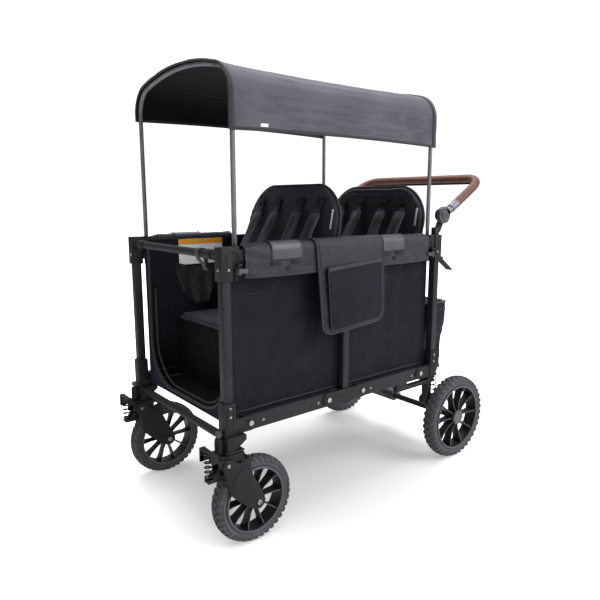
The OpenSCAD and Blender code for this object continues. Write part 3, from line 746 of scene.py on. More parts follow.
def rimMesh(name, radius, opening, capRadius):
    half = wheelShape["halfWidth"]
    inner = radius * opening
    bead = inner + 0.008
    ring = turned(name + "Ring", [
        (bead, -half + 0.006), (bead - 0.0005, -half + 0.0028), (inner + 0.0045, -half + 0.0012),
        (inner + 0.001, -half + 0.0025), (inner, -half + 0.006), (inner + 0.0015, 0.0), (inner, half - 0.006),
        (inner + 0.001, half - 0.0025), (inner + 0.0045, half - 0.0012), (bead - 0.0005, half - 0.0028),
        (bead, half - 0.006)], 96)
    hubRadius = radius * 0.17
    hub = turned(name + "Hub", [
        (0.0062, -half + 0.004), (hubRadius * 0.7, -half + 0.004), (hubRadius * 0.95, -half + 0.0065),
        (hubRadius, -half + 0.01), (hubRadius * 0.9, 0.0), (hubRadius, half - 0.01),
        (hubRadius * 0.95, half - 0.0065), (hubRadius * 0.7, half - 0.004), (0.0062, half - 0.004)], 40)
    foot = hubRadius * 0.86
    along = inner + 0.003 - foot
    edge = [(foot, -half + 0.007), (foot + 0.3 * along, -half + 0.012), (foot + 0.7 * along, -half + 0.010),
            (foot + along, -half + 0.0045)]
    blade = outlinePiece(name + "Blade", edge + [(x, -y) for x, y in reversed(edge)],
                         -wheelShape["bladeThick"] / 2, wheelShape["bladeThick"] / 2, 0.0009, "Z")
    spokes = wheelShape["spokes"]
    turns = [Matrix.Rotation(math.tau * i / spokes, 4, "Y") for i in range(spokes)]
    blades = repeated(name + "Blades", blade, turns)
    parts = [ring, hub, blades]
    if capRadius:
        parts.append(turned(name + "Cap", [
            (0.00001, -half - 0.001), (capRadius * 0.72, -half - 0.001), (capRadius * 0.78, -half + 0.0002),
            (capRadius * 0.95, -half + 0.001), (capRadius, -half + 0.003), (capRadius, -half + 0.008),
            (0.00001, -half + 0.008)], 40))
    piece = joined(name, parts)
    smoothen(piece, 38)
    return piece


def wheelSet(end, opening, capRadius):
    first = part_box(end + "_tyre_near")
    radius = (first[1].z - first[0].z) / 2
    tyre = tyreMesh(end + "TyrePattern", radius, radius * opening + 0.0081)
    rim = rimMesh(end + "RimPattern", radius, opening, capRadius)
    for side, sign in nearFar:
        body = end + "_wheel_" + side
        centre = middleOf(end + "_tyre_" + side)
        for pattern, part, material, slotName in ((tyre, "Tyre", evaFoam, "tyre_foam"),
                                                  (rim, "Rim", wheelNylon, "wheel_plastic")):
            name = end + part + side.capitalize()
            piece = copyOf(pattern, name) if sign < 0 else mirroredCopy(pattern, name)
            shifted(piece, centre)
            dress(piece, name, body, material, [end + "_" + part.lower() + "_" + side])
    for pattern in (tyre, rim):
        bpy.data.objects.remove(pattern)


wheelSet("rear", 0.735, 0.0275)
wheelSet("front", 0.71, 0)
print("wheels made")


# Coil springs.
def coilSpring(name, centre, bottom, top, outerRadius, wireRadius, turns, body, stands):
    steps = int(turns * 20)
    height = top - bottom - 2 * wireRadius
    ring = outerRadius - wireRadius
    path = []
    for i in range(steps + 1):
        share = i / steps
        # closed and ground ends: the first and last turn lie flat
        rise = min(1, max(0, (share * turns - 0.8) / (turns - 1.6)))
        angle = share * turns * math.tau
        path.append((centre.x + ring * math.cos(angle), centre.y + ring * math.sin(angle),
                     bottom + wireRadius + rise * height))
    piece = tubeAlong(name, path, wireRadius, 8)
    return dress(piece, name, body, springWire, stands)


def springPieces():
    for side, sign in nearFar:
        low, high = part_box("caster_spring_" + side)
        coilSpring("casterCoil" + side.capitalize(), (low + high) / 2, low.z, high.z, 0.0135, 0.0021, 7,
                   "caster_" + side, ["caster_spring_" + side])
    low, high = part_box("rear_springs")
    radius = 0.0125
    for side, sign in nearFar:
        centre = Vector(((low.x + high.x) / 2, sign * (high.y - radius), 0))
        coilSpring("rearCoil" + side.capitalize(), centre, low.z, high.z, radius, 0.0022, 9,
                   "rear_suspension", ["rear_springs"])


springPieces()
print("springs made")


# Canopy.
canopyShape = {"cornerRadius": 0.075, "slope": 14, "springZ": 1.190, "gap": 0.0016, "thick": 0.0011,
               "frontLap": 0.011, "scoop": 0.007, "sag": 0.010, "bindingWidth": 0.014}


def archPath(grow):
    # points of the arch from the far hem's height to the near one, and how far round each one is
    radius, slope = canopyShape["cornerRadius"], math.radians(canopyShape["slope"])
    springZ = canopyShape["springZ"]
    poleY = outerOf("rear_hoop").y - 0.0065
    cornerY = poleY - radius
    domeY = cornerY + radius * math.sin(slope)
    domeRadius = domeY / math.sin(slope)
    domeZ = springZ + radius * math.cos(slope)
    centreZ = domeZ - domeRadius * math.cos(slope)
    half = []
    for i in range(15):
        angle = (math.pi / 2 - slope) * i / 15
        half.append((cornerY + (radius + grow) * math.cos(angle), springZ + (radius + grow) * math.sin(angle)))
    for i in range(15):
        angle = slope * (1 - i / 15)
        half.append(((domeRadius + grow) * math.sin(angle), centreZ + (domeRadius + grow) * math.cos(angle)))
    top = (0.0, centreZ + domeRadius + grow)
    return half + [top] + [(-y, z) for y, z in reversed(half)]


def alongPolyline(points, share):
    lengths = [math.dist(a, b) for a, b in zip(points, points[1:])]
    target = share * sum(lengths)
    for (a, b), length in zip(zip(points, points[1:]), lengths):
        if target <= length:
            t = target / length
            return tuple(p + (q - p) * t for p, q in zip(a, b))
        target -= length
    return tuple(points[-1])


def canopyPieces():
    low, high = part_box("canopy_fabric")
    farHem = min(v.co.z for v in frame["nodes"]["canopy_fabric"].data.vertices if v.co.y > 0.2)
    arch = archPath(0.0065 + canopyShape["gap"])
    hemY = arch[0][0]
    outline = [(hemY, farHem)] + arch + [(-hemY, low.z)]
    front, rear = low.x - 0.002, high.x + 0.002
    samples = [alongPolyline(outline, i / 160) for i in range(161)]

    def skin(u, v, lift=0.0):
        share = v * 160
        i = min(159, int(share))
        (ya, za), (yb, zb) = samples[i], samples[i + 1]
        t = share - i
        y, z = ya + (yb - ya) * t, za + (zb - za) * t
        span = math.sin(math.pi * u) ** 0.8 if 0 < u < 1 else 0.0
        tangent = Vector((0, yb - ya, zb - za)).normalized()
        normal = Vector((0, tangent.z, -tangent.y))
        if normal.dot(Vector((0, y, z - 1.0))) < 0:
            normal = -normal
        topness = max(0.0, (z - canopyShape["springZ"]) / 0.1)
        corner = math.exp(-((abs(y) - 0.22) / 0.05) ** 2)
        inward = canopyShape["sag"] * span * (0.35 * min(1, topness) + 0.75 * corner)
        # tension folds that run from hoop to hoop, and a few pulls at the corners
        fold = 0.0011 * ripple(u * 0.9, v * 1.9, 1, 0.13) + 0.0012 * corner * math.sin(v * 160) * span
        hemEase = canopyShape["scoop"] * span if v < 0.004 or v > 0.996 else 0.0
        edge = min(v, 1 - v)
        if edge < 0.12:
            hemEase = canopyShape["scoop"] * span * (1 - edge / 0.12)
        return Vector((front + (rear - front) * u, y, z + hemEase)) + normal * (lift + fold - inward)

    sheet = clothPanel("canopySheet", 72, 150, skin, canopyShape["thick"], 0.0, True)
    outwards(sheet)
    smoothen(sheet, 70)
    sheet.data.materials.append(canopyCloth)
    sheet.data.materials.append(shadedInsideCloth)
    for face in sheet.data.polygons:
        # the face that looks at the wagon gets the darker inside cloth: painted shade
        toAxis = Vector((0, -face.center.y, 1.05 - face.center.z))
        face.material_index = 1 if face.normal.dot(toAxis) > 0 else 0
    dress(sheet, "canopySheet", "rear_canopy", None, ["canopy_fabric"])
    edges = []
    for name, u, lap in (("canopyFrontBinding", 0.0, 1), ("canopyRearBinding", 1.0, -1)):
        path = sampled(110, lambda v: skin(u, v) + Vector((-0.0012 * lap, 0, 0)))
        cord = tubeAlong(name, path, 0.0028, 8)
        width = canopyShape["bindingWidth"] / (rear - front)
        band = clothPanel(name + "Band", 2, 110, lambda a, b: skin(u + lap * a * width, b, 0.0011), 0.0009, 1.0)
        edges.append(dressJoined([cord, band], name, "rear_canopy", bindingTape))
    for name, v in (("canopyNearHem", 0.9965), ("canopyFarHem", 0.0035)):
        hem = ribbonAlong(name, sampled(60, lambda u: skin(u, v)), (0, 0, 1), 0.009, 0.0032, 0.0012)
        edges.append(dress(hem, name, "rear_canopy", bindingTape))
    for name, u in (("canopyFrontStitches", 0.019), ("canopyRearStitches", 0.981)):
        path = sampled(110, lambda v: skin(u, v, 0.0021))
        stitches = stitchesAlong(name, path, 0.0075, 0.0045)
        edges.append(dress(stitches, name, "rear_canopy", None))
    path = [skin(i / 60, 0.979, 0.0009) for i in range(1, 60)]
    stitches = stitchesAlong("canopyHemStitches", path, 0.0075, 0.0045)
    edges.append(dress(stitches, "canopyHemStitches", "rear_canopy", None))
    tagPath = [skin(0.115 + 0.03 * i / 4, 0.9815, 0.0016) for i in range(5)]
    tag = ribbonAlong("canopyTag", tagPath, (0, 0, 1), 0.008, 0.0008)
    edges.append(dress(tag, "canopyTag", "rear_canopy", whiteLabel))
    # each piece gets its own mesh
    for piece in [sheet] + edges:
        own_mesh(piece)


canopyPieces()
print("canopy made")


# Fabric tub.
tubShape = {"wallThick": 0.0016, "billow": 0.0078, "foldDepth": 0.0032, "seamLow": 0.352, "seamHigh": 0.79,
            "waist": 0.688, "endSeam": 0.052, "middleSeam": 0.018, "bindingRadius": 0.0042}


def squashTub(*pieces):
    for piece in pieces:
        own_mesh(piece)


def tubPiece(piece, name, material, *stands):
    dress(piece, name, "rear_frame", material, stands)
    squashTub(piece)
    return piece


def sideWalls():
    low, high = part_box("side_walls")
    outer = wallY - 0.0004

    def depth(x, z):
        # pulled tight at the posts, the rails and the middle seam, and slack between them
        half = (x - hingeX) / (high.x - hingeX) if x > hingeX else (hingeX - x) / (hingeX - low.x)
        across = math.sin(math.pi * min(1, max(0, half))) ** 0.7
        rise = (z - low.z) / (high.z - low.z)
        upright = math.sin(math.pi * min(1, max(0, rise))) ** 0.5
        side = 1 if x > hingeX else 2
        hang = 0.5 + 0.5 * math.sin((x - hingeX) * 46 + 2.2 * ripple(x, z * 0.25, side, 0.2))
        wander = 0.6 * ripple(x * 1.6, z * 0.4, side + 3, 0.09)
        folds = tubShape["foldDepth"] * (hang * (0.5 + 0.5 * rise) + wander)
        pull = 0.0012 * ripple(x, z, side + 8, 0.045) * (1 - upright * 0.6)
        return max(0.0, (tubShape["billow"] * across + folds) * upright * across + pull * across)

    walls = []
    for side, sign in nearFar:
        def place(u, v, sign=sign):
            x = low.x + (high.x - low.x) * u
            z = low.z + (high.z - low.z) * v
            return Vector((x, sign * (outer - depth(x, z)), z))
        walls.append(sewnPanel("wall" + side.capitalize(), 150, 84, place, tubShape["wallThick"]))
    tubPiece(joined("sideWalls", walls), "sideWalls", oxfordCloth, "side_walls")
    frontSeam, rearSeam = low.x + tubShape["endSeam"], high.x - tubShape["endSeam"]
    waist, seamLow, seamHigh = tubShape["waist"], tubShape["seamLow"], tubShape["seamHigh"]
    seamLines = {"Waist": ((low.x + 0.004, waist), (high.x - 0.004, waist)),
                 "FrontEdge": ((frontSeam, seamLow), (frontSeam, seamHigh)),
                 "RearEdge": ((rearSeam, seamLow), (rearSeam, seamHigh))}
    for name, way in (("Middle", -1), ("MiddleRear", 1)):
        x = hingeX + way * tubShape["middleSeam"]
        seamLines[name] = ((x, seamLow + 0.008), (x, seamHigh))
    seams = []
    for side, sign in nearFar:
        face = sign * (outer + 0.0012)
        for name, (start, end) in seamLines.items():
            path = []
            for i in range(41):
                x, z = between(start[0], end[0], i / 40), between(start[1], end[1], i / 40)
                path.append((x, face - sign * depth(x, z), z))
            seams.append(stitchesAlong("wallSeam" + name + side, path, 0.007, 0.0045, 0.001))
            below = 0.0022 if name == "Waist" else 0.0
            cord = tubeAlong("wallCord" + name + side, [(x, y - sign * 0.0006, z - below) for x, y, z in path],
                             0.0009, 6)
            cord.data.materials.append(oxfordCloth)
            seams.append(cord)
        # bound lower hem that sits on the lower rail
        hemZ = low.z + 0.028
        path = [(low.x + (high.x - low.x) * i / 60, sign * (outer - 0.0012),
                 hemZ + 0.0012 * ripple(i * 0.01, 0, 5, 0.05)) for i in range(61)]
        hem = tubeAlong("wallHem" + side, path, 0.0024, 8)
        hem.data.materials.append(bindingTape)
        seams.append(hem)
    tubPiece(joined("wallSeams", seams), "wallSeams", None)


sideWalls()


def endWalls():
    low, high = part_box("end_walls")
    inset = 0.0012
    doorHalf, sillZ, cornerRadius = high.y - 0.018, low.z + 0.012, 0.135
    topZ = high.z - 0.004
    frontAt = low.x + 0.0015

    def doorEdge(share):
        # the open doorway's edge: down one side, round, along the sill and up the other side
        points = [(doorHalf, topZ)]
        for i in range(17):
            angle = math.pi / 2 * i / 16
            points.append((doorHalf - cornerRadius * (1 - math.cos(angle)),
                           sillZ + cornerRadius * (1 - math.sin(angle))))
        points += [(-y, z) for y, z in reversed(points)]
        return alongPolyline(points, share)

    def outerEdge(share):
        half = high.y - inset
        return alongPolyline([(half, topZ), (half, low.z), (-half, low.z), (-half, topZ)], share)

    def frontPlace(u, v):
        (yo, zo), (yi, zi) = outerEdge(u), doorEdge(u)
        y, z = yo + (yi - yo) * v, zo + (zi - zo) * v
        return Vector((frontAt + 0.0035 * v + 0.0012 * ripple(y, z, 12, 0.04) * v, y, z))

    frontWall = sewnPanel("frontWall", 110, 6, frontPlace, 0.0018)
    frontWall.data.materials.append(oxfordCloth)
    edgePath = [Vector((frontAt + 0.0035, *doorEdge(i / 90))) for i in range(91)]
    piping = tubeAlong("doorPiping", edgePath, tubShape["bindingRadius"], 10)
    tubPiece(piping, "doorPiping", bindingTape)
    innerPath = [p + Vector((0.012, -math.copysign(0.016 * min(1, abs(p.y) / 0.1), p.y), 0.009))
                 for p in edgePath[10:81]]
    inner = tubeAlong("doorInnerPiping", innerPath, 0.0026, 8)
    tubPiece(inner, "doorInnerPiping", bindingTape)

    backAt = high.x - 0.0015

    def backPlace(u, v):
        y = -high.y + inset + (2 * high.y - 2 * inset) * u
        z = low.z + (high.z - low.z) * v
        slack = math.sin(math.pi * u) ** 0.6 * math.sin(math.pi * v) ** 0.5 if 0 < u < 1 and 0 < v < 1 else 0
        return Vector((backAt - 0.001 - abs(0.006 * slack * (0.6 + 0.4 * ripple(y, z * 0.4, 21, 0.09))), y, z))

    backWall = sewnPanel("backWall", 90, 70, backPlace, 0.0018)
    backWall.data.materials.append(oxfordCloth)
    tubPiece(joined("endWalls", [frontWall, backWall]), "endWalls", None, "end_walls")


endWalls()


def floorPanel():
    low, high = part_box("floor_panel")
    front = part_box("end_walls")[0].x + 0.006

    def place(u, v):
        x = front + (high.x - front) * u
        y = low.y + (high.y - low.y) * v
        quilt = 0.0012 * abs(math.sin(math.pi * (y / 0.12 + 0.5))) ** 0.4
        return Vector((x, y, high.z - 0.0014 + quilt + 0.0007 * ripple(x, y, 31, 0.06)))

    # the darker inside cloth on the tub floor is painted shade
    tubPiece(sewnPanel("floorMat", 90, 60, place, 0.003, -1.0), "floorMat", shadedInsideCloth, "floor_panel")


floorPanel()
print("tub made")


# Rail covers, clamps and pocket.
# the cover's section over an upper rail: how far out from the post line, and how high
coverSection = [(-0.0125, 0.798), (-0.0135, 0.810), (-0.0095, 0.8185), (0.0, 0.8222), (0.0095, 0.8215),
                (0.0165, 0.8165), (0.0196, 0.806), (0.0204, 0.790), (0.0202, 0.765), (0.0196, 0.738)]
coverShape = {"reach": 0.365, "gapFromHinge": 0.062, "thick": 0.0024, "piping": 0.0024}


def overRail(section, x, share, lift, sign):
    # a point on the section, raised square to it
    out, z = alongPolyline(section, share)
    outA, zA = alongPolyline(section, max(0, share - 0.01))
    outB, zB = alongPolyline(section, min(1, share + 0.01))
    along = Vector((outB - outA, zB - zA)).normalized()
    return Vector((x, sign * (postY + out - along.y * lift), z + along.x * lift))


def railCovers():
    for end, way in frontRear:
        pieces, pipes, stitches = [], [], []
        for side, sign in nearFar:
            start = hingeX + way * coverShape["gapFromHinge"]
            stop = hingeX + way * coverShape["reach"]

            def place(u, v, start=start, stop=stop, sign=sign, way=way):
                x = start + (stop - start) * u
                tuck = 0.0042 * math.exp(-((1 - u) / 0.05) ** 2)
                gather = math.exp(-((1 - u) / 0.22) ** 2)
                pucker = 0.0016 * ripple(x, v * 0.12, 41 + way, 0.028)
                pucker += 0.0019 * ripple(x, v * 0.3, 44 + sign, 0.07)
                pucker += 0.0016 * gather * math.sin(v * 26 + 9 * u)
                pucker *= min(1, 3 * (1 - abs(2 * v - 1)) + 0.3)
                drop = 0.003 * math.sin(math.pi * u) * v * v
                return overRail(coverSection, x, v, pucker - tuck, sign) - Vector((0, 0, drop))

            pieces.append(sewnPanel("cover" + end + side, 110, 44, place, coverShape["thick"]))
            pipes.append(tubeAlong("pipe", sampled(60, lambda u: place(u, 1.0)), coverShape["piping"], 8))
            for share in (0.9, 0.14):
                path = sampled(60, lambda u: place(u, share) + Vector((0, sign * 0.0014, 0)))
                stitches.append(stitchesAlong("stitch", path, 0.007, 0.0045, 0.001))
        body = "upper_" + end + "_rails"
        title = end.capitalize()
        dressJoined(pieces, "railCover" + title, body, coatedCloth, ["rail_covers_" + end])
        dressJoined(pipes, "coverPiping" + title, body, bindingTape)
        dressJoined(stitches, "coverStitches" + title, body, None)


railCovers()
clampShape = {"front": (-0.285, -0.184), "rear": (0.138, 0.236), "lift": 0.0032, "thick": 0.0024,
              "corner": 0.006}


def saddleClamps():
    for end, way in frontRear:
        left, right = (hingeX + x for x in clampShape[end])
        shells, tabs = [], []
        for side, sign in nearFar:
            def place(u, v, sign=sign, left=left, right=right):
                share = 0.12 + 0.56 * v
                corner = clampShape["corner"]
                edge = min(u, 1 - u) * (right - left)
                bottom = (1 - v) * 0.06
                trim = 0.0
                if bottom < corner and edge < corner:
                    trim = (corner - edge) ** 2 / corner * 0.10 / 0.09
                return overRail(coverSection, left + (right - left) * u, share - trim, clampShape["lift"], sign)

            shell = outwards(clothPanel("clampShell", 26, 26, place, clampShape["thick"]))
            easeEdges(shell, 0.0008, 50)
            smoothen(shell, 50)
            shells.append(shell)
            for u in (0.03, 0.97):
                shells.append(tubeAlong("clampRib", sampled(20, lambda v: place(u, v)), 0.0021, 8))
            for u in (0.14, 0.80):
                x = left + (right - left) * u
                base = overRail(coverSection, x, 0.76, 0.0022, sign)
                tabs.append(boxAt("clampTab", base, (-0.016, -0.0026, -0.0055), (0.016, 0.0026, 0.0045),
                                  0.0022))
            base = overRail(coverSection, left + (right - left) * 0.56, 0.885, 0.0022, sign)
            snap = turned("clampSnap", [(0.00001, -0.0022), (0.0032, -0.0022), (0.0045, -0.0012),
                                        (0.006, -0.0012), (0.0068, 0.0012), (0.00001, 0.0012)], 24)
            snap.data.transform(facing(sign))
            tabs.append(shifted(snap, base))
        body = "upper_" + end + "_rails"
        dressJoined(shells, "saddleClamps" + end.capitalize(), body, satinNylon)
        dressJoined(tabs, "clampTabs" + end.capitalize(), body, glassNylon)


saddleClamps()

pocketShape = {"left": -0.134, "right": 0.134, "leftLean": 0.026, "rightLean": 0.009, "top": 0.826,
               "bottom": 0.550, "rise": 0.014, "cornerLeft": 0.030, "cornerRight": 0.040, "pocketTop": 0.742,
               "pocketRise": 0.013, "gusset": 0.011}
pocketSection = [(-0.0165, 0.797), (-0.0172, 0.812), (-0.0125, 0.8225), (0.0, 0.8268), (0.012, 0.8262),
                 (0.0205, 0.8195), (0.0242, 0.807), (0.0250, 0.790), (0.0250, 0.65), (0.0250, 0.550)]


def threeSides(place, rows, columns):
    # down a panel's first side, along its foot and up the other side
    path = sampled(rows, lambda v: place(0.0, v)) + sampled(columns, lambda u: place(u, 1.0))[1:]
    return path + sampled(rows, lambda v: place(1.0, 1 - v))[1:]


def cornerTrim(radius, up):
    # how far a rounded lower corner stands in, this high above the foot
    return radius - math.sqrt(max(0, radius ** 2 - (radius - up) ** 2)) if up < radius else 0.0


def pocketFlap():
    shape = pocketShape

    def edges(z):
        fall = min(1, max(0, (shape["top"] - z) / (shape["top"] - shape["bottom"])))
        left = hingeX + shape["left"] + shape["leftLean"] * fall
        right = hingeX + shape["right"] + shape["rightLean"] * fall
        up = z - shape["bottom"]
        return left + cornerTrim(shape["cornerLeft"], up), right - cornerTrim(shape["cornerRight"], up)

    def place(u, v, lift=0.0):
        point = overRail(pocketSection, 0, v, lift, -1)
        left, right = edges(point.z)
        hang = max(0.0, min(1, (0.79 - point.z) / 0.1))
        point.x = left + (right - left) * u
        point.y -= hang * (0.0012 + 0.0012 * ripple(point.x, point.z, 51, 0.08) + 0.002 * math.sin(math.pi * u))
        # the lower edge climbs a little towards the push handle
        point.z += shape["rise"] * u * hang * max(0, (0.70 - point.z) / 0.15 if point.z < 0.70 else 0)
        return point

    dress(sewnPanel("pocketFlap", 60, 90, place, 0.0022), "pocketFlap", "mid_frame", coatedCloth)
    parts = [tubeAlong("flapBinding", threeSides(place, 70, 30), 0.0031, 8),
             tubeAlong("flapInnerLine", sampled(70, lambda v: place(0.035, v, 0.0014)), 0.0013, 6)]
    dressJoined(parts, "flapBinding", "mid_frame", bindingTape)
    pocketTop, pocketFoot = shape["pocketTop"], shape["bottom"] + 0.010

    def pocketPlace(u, v):
        z = pocketTop - (pocketTop - pocketFoot) * v
        left, right = edges(z)
        left += 0.026
        right -= 0.009
        x = left + (right - left) * u
        z += shape["pocketRise"] * u * (1 - v) + shape["rise"] * u * v
        bulge = shape["gusset"] * (1 - u) ** 1.5 * (1 - 0.35 * v)
        bulge += 0.006 * math.sin(math.pi * u) * math.sin(math.pi * min(1, v * 0.9))
        face = postY + 0.0272 + bulge + 0.0011 * ripple(x, z, 55, 0.05)
        return Vector((x, -face, z))

    dress(sewnPanel("pocketPanel", 50, 50, pocketPlace, 0.0020), "pocketPanel", "mid_frame", oxfordCloth)
    lip = sampled(40, lambda u: pocketPlace(u, 0.0) + Vector((0, -0.0006, -0.003)))
    trims = [ribbonAlong("pocketLip", lip, (0, 0.15, 1), 0.0095, 0.0032, 0.0012),
             tubeAlong("pocketEdge", threeSides(pocketPlace, 40, 40), 0.0017, 6)]
    dressJoined(trims, "pocketTrim", "mid_frame", bindingTape)
    # the pleated side of the pocket, folded inwards
    gusset = clothPanel("pocketGusset", 4, 40, lambda u, v: pocketPlace(0.0, v) + Vector(
        (0.006 * math.sin(math.pi * u), (shape["gusset"] * (1 - 0.35 * v) + 0.001) * u, 0)), 0.0012, 0.0)
    # the darker inside cloth on the folded-in gusset is painted shade
    dress(outwards(gusset), "pocketGusset", "mid_frame", shadedInsideCloth)
    flapLine = sampled(40, lambda u: place(0.05 + 0.9 * u, 0.50, 0.0014))
    pocketLine = sampled(40, lambda u: pocketPlace(0.03 + 0.94 * u, 0.16) + Vector((0, -0.0015, 0)))
    lines = [stitchesAlong("flapStitches", flapLine, 0.007, 0.0045),
             stitchesAlong("pocketStitches", pocketLine, 0.007, 0.0045)]
    dressJoined(lines, "pocketStitches", "mid_frame", None)


pocketFlap()
print("covers and pocket made")


# Padded seats.
seatShape = {"half": 0.233, "height": 0.428, "corner": 0.112, "crown": 0.022, "lean": 9.8, "skin": 0.015,
             "voxel": 0.0065, "pressure": 4.0, "swell": 0.0085, "seamInset": 0.019, "seamDepth": 0.0035,
             "drawnIn": 0.0075, "strapHeight": 0.375, "childGap": 0.105, "strapGap": 0.046,
             "depth": 0.228, "backThick": 0.030}
benchLow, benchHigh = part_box("benches")
feetX = (benchLow.x + seatShape["depth"], benchHigh.x - 0.034)
seatZ = benchHigh.z


def puffed(piece, pressure, swell, drift, frames=20):
    # air pressure from inside swells the cover; how far a point may move is capped
    rest = [vertex.co.copy() for vertex in piece.data.vertices]
    normals = [vertex.normal.copy() for vertex in piece.data.vertices]
    selectOnly(piece)
    cloth = piece.modifiers.new("puff", "CLOTH")
    cloth.settings.use_pressure = True
    cloth.settings.uniform_pressure_force = pressure
    cloth.settings.effector_weights.gravity = 0
    cloth.settings.quality = 4
    scene = bpy.context.scene
    for step in range(1, frames + 1):
        scene.frame_set(step)
    bpy.ops.object.modifier_apply(modifier=cloth.name)
    scene.frame_set(1)
    for vertex, start, normal in zip(piece.data.vertices, rest, normals):
        move = vertex.co - start
        outward = normal * max(-swell, min(swell, move.dot(normal)))
        sideways = move - normal * move.dot(normal)
        if sideways.length > drift:
            sideways = sideways.normalized() * drift
        vertex.co = start + outward + sideways
    return piece


def backOutline(inset=0.0):
    half, height, corner = seatShape["half"] - inset, seatShape["height"] - inset, seatShape["corner"] - inset
    points = [(-half + 0.006, inset), (half - 0.006, inset)]
    for i in range(13):
        angle = math.pi / 2 * i / 12
        y = half - corner + corner * math.cos(angle)
        z = height - corner + corner * math.sin(angle)
        points.append((y, z))
    points += [(-y, z) for y, z in reversed(points[2:])]
    crown = seatShape["crown"]
    return [(y, z + crown * (math.cos(y / half * math.pi / 2) - 1) * (z / height)) for y, z in points]


def distanceToEdge(y, z, outline):
    best = 1.0
    for (ya, za), (yb, zb) in zip(outline, outline[1:] + outline[:1]):
        dy, dz = yb - ya, zb - za
        t = max(0, min(1, ((y - ya) * dy + (z - za) * dz) / (dy * dy + dz * dz)))
        best = min(best, math.hypot(y - ya - t * dy, z - za - t * dz))
    return best


def backPattern():
    thick = seatShape["backThick"]
    outline = backOutline()
    # the voxels and the smoothing draw the edge in, so the start is larger by as much
    back = outlinePiece("seatBackPattern", backOutline(-seatShape["drawnIn"]), (thick - seatShape["skin"]) / 2,
                        (thick + seatShape["skin"]) / 2, 0.003, "X")
    useModifier(back, "REMESH", mode="VOXEL", voxel_size=seatShape["voxel"])
    puffed(back, seatShape["pressure"], seatShape["swell"], 0.0015)
    middle = thick / 2
    slotPlaces = [child * seatShape["childGap"] + strap * seatShape["strapGap"]
                  for child in (-1, 1) for strap in (-1, 1)]
    for vertex in back.data.vertices:
        x, y, z = vertex.co
        face = x - middle
        if abs(face) < 0.003:
            continue
        edge = distanceToEdge(y, z, outline)
        crown = 0.0
        seam = seatShape["seamDepth"] * math.exp(-((edge - seatShape["seamInset"]) / 0.0045) ** 2)
        # a shallow dish for each child, and soft dimples round the strap slots
        dish = 0.002 * math.exp(-((abs(y) - seatShape["childGap"]) / 0.07) ** 2) if face < 0 else 0
        slot = 0.0
        if face < 0:
            high = math.exp(-((z - seatShape["strapHeight"]) / 0.010) ** 2)
            slot = sum(0.0045 * high * math.exp(-((y - slotY) / 0.026) ** 2) for slotY in slotPlaces)
        crease = 0.0008 * ripple(y, z, 61, 0.06)
        vertex.co.x = middle + math.copysign(max(0.002, abs(face) + crown - seam - dish - slot + crease), face)
    useModifier(back, "SUBSURF", levels=1, render_levels=1)
    smoothen(back, 80)
    return back


def leanBy(footX):
    # from the seat back's own place (front face at x = 0, foot at z = 0) to where it stands
    lean = math.radians(seatShape["lean"])
    rise = seatZ + seatShape["backThick"] * math.sin(lean) + 0.0004
    return Matrix.Translation((footX + 0.003, 0, rise)) @ Matrix.Rotation(lean, 4, "Y")


def padPattern(length):
    # a shoulder pad: a soft sleeve with a stitched edge, lying along +Z from its lower end, its face to -X
    halfWidth = 0.024

    def place(u, v):
        angle = math.tau * u
        across = math.copysign(abs(math.cos(angle)) ** 0.55, math.cos(angle)) * halfWidth
        end = min(1, 0.35 + 11 * min(v, 1 - v))
        lump = 1 + 0.18 * math.sin(v * 31) * 0.4
        edge = 1 - 0.35 * math.exp(-((abs(math.cos(angle)) - 0.80) / 0.06) ** 2)
        deep = math.copysign(abs(math.sin(angle)) ** 0.7, math.sin(angle)) * 0.0058 * end * lump * edge
        return Vector((deep, across * (1 - 0.05 * v) * min(1, 0.88 + 3.5 * min(v, 1 - v)), length * v))

    pad = outwards(clothPanel("padPattern", 34, 44, place))
    smoothen(pad, 60)
    return pad


def strapPath(y, buckleY):
    # down from the slot, over the lap and in to the buckle, in the seat back's own place:
    # place along the wagon, how far drawn over to the buckle, and how high
    slot = seatShape["strapHeight"]
    route = [(0.004, 0, slot), (-0.006, 0, slot - 0.012), (-0.012, 0, slot - 0.045), (-0.030, 0.005, 0.300),
             (-0.058, 0.04, 0.205), (-0.090, 0.12, 0.110), (-0.115, 0.28, 0.055), (-0.128, 0.6, 0.038),
             (-0.132, 0.85, 0.034)]
    return [(x, between(y, buckleY, drawn), z) for x, drawn, z in route]


def smoothPath(points, count):
    # an even curve through the points
    points = [Vector(p) for p in points]
    padded = [points[0] * 2 - points[1]] + points + [points[-1] * 2 - points[-2]]
    out = []
    for i in range(count + 1):
        t = i / count * (len(points) - 1)
        k = min(int(t), len(points) - 2)
        f = t - k
        a, b, c, d = padded[k:k + 4]
        bend, twist = 2 * a - 5 * b + 4 * c - d, 3 * b - a - 3 * c + d
        out.append(0.5 * (2 * b + (c - a) * f + bend * f * f + twist * f ** 3))
    return out


def padOn(top, foot):
    # a pad along the strap, with its width kept across the seat
    pad = padPattern((top - foot).length)
    zAxis = (top - foot).normalized()
    xAxis = Vector((0, 1, 0)).cross(zAxis).normalized()
    turn = Matrix((xAxis, zAxis.cross(xAxis), zAxis)).transposed().to_4x4()
    pad.data.transform(Matrix.Translation(foot + Vector((-0.003, 0, 0))) @ turn)
    return pad


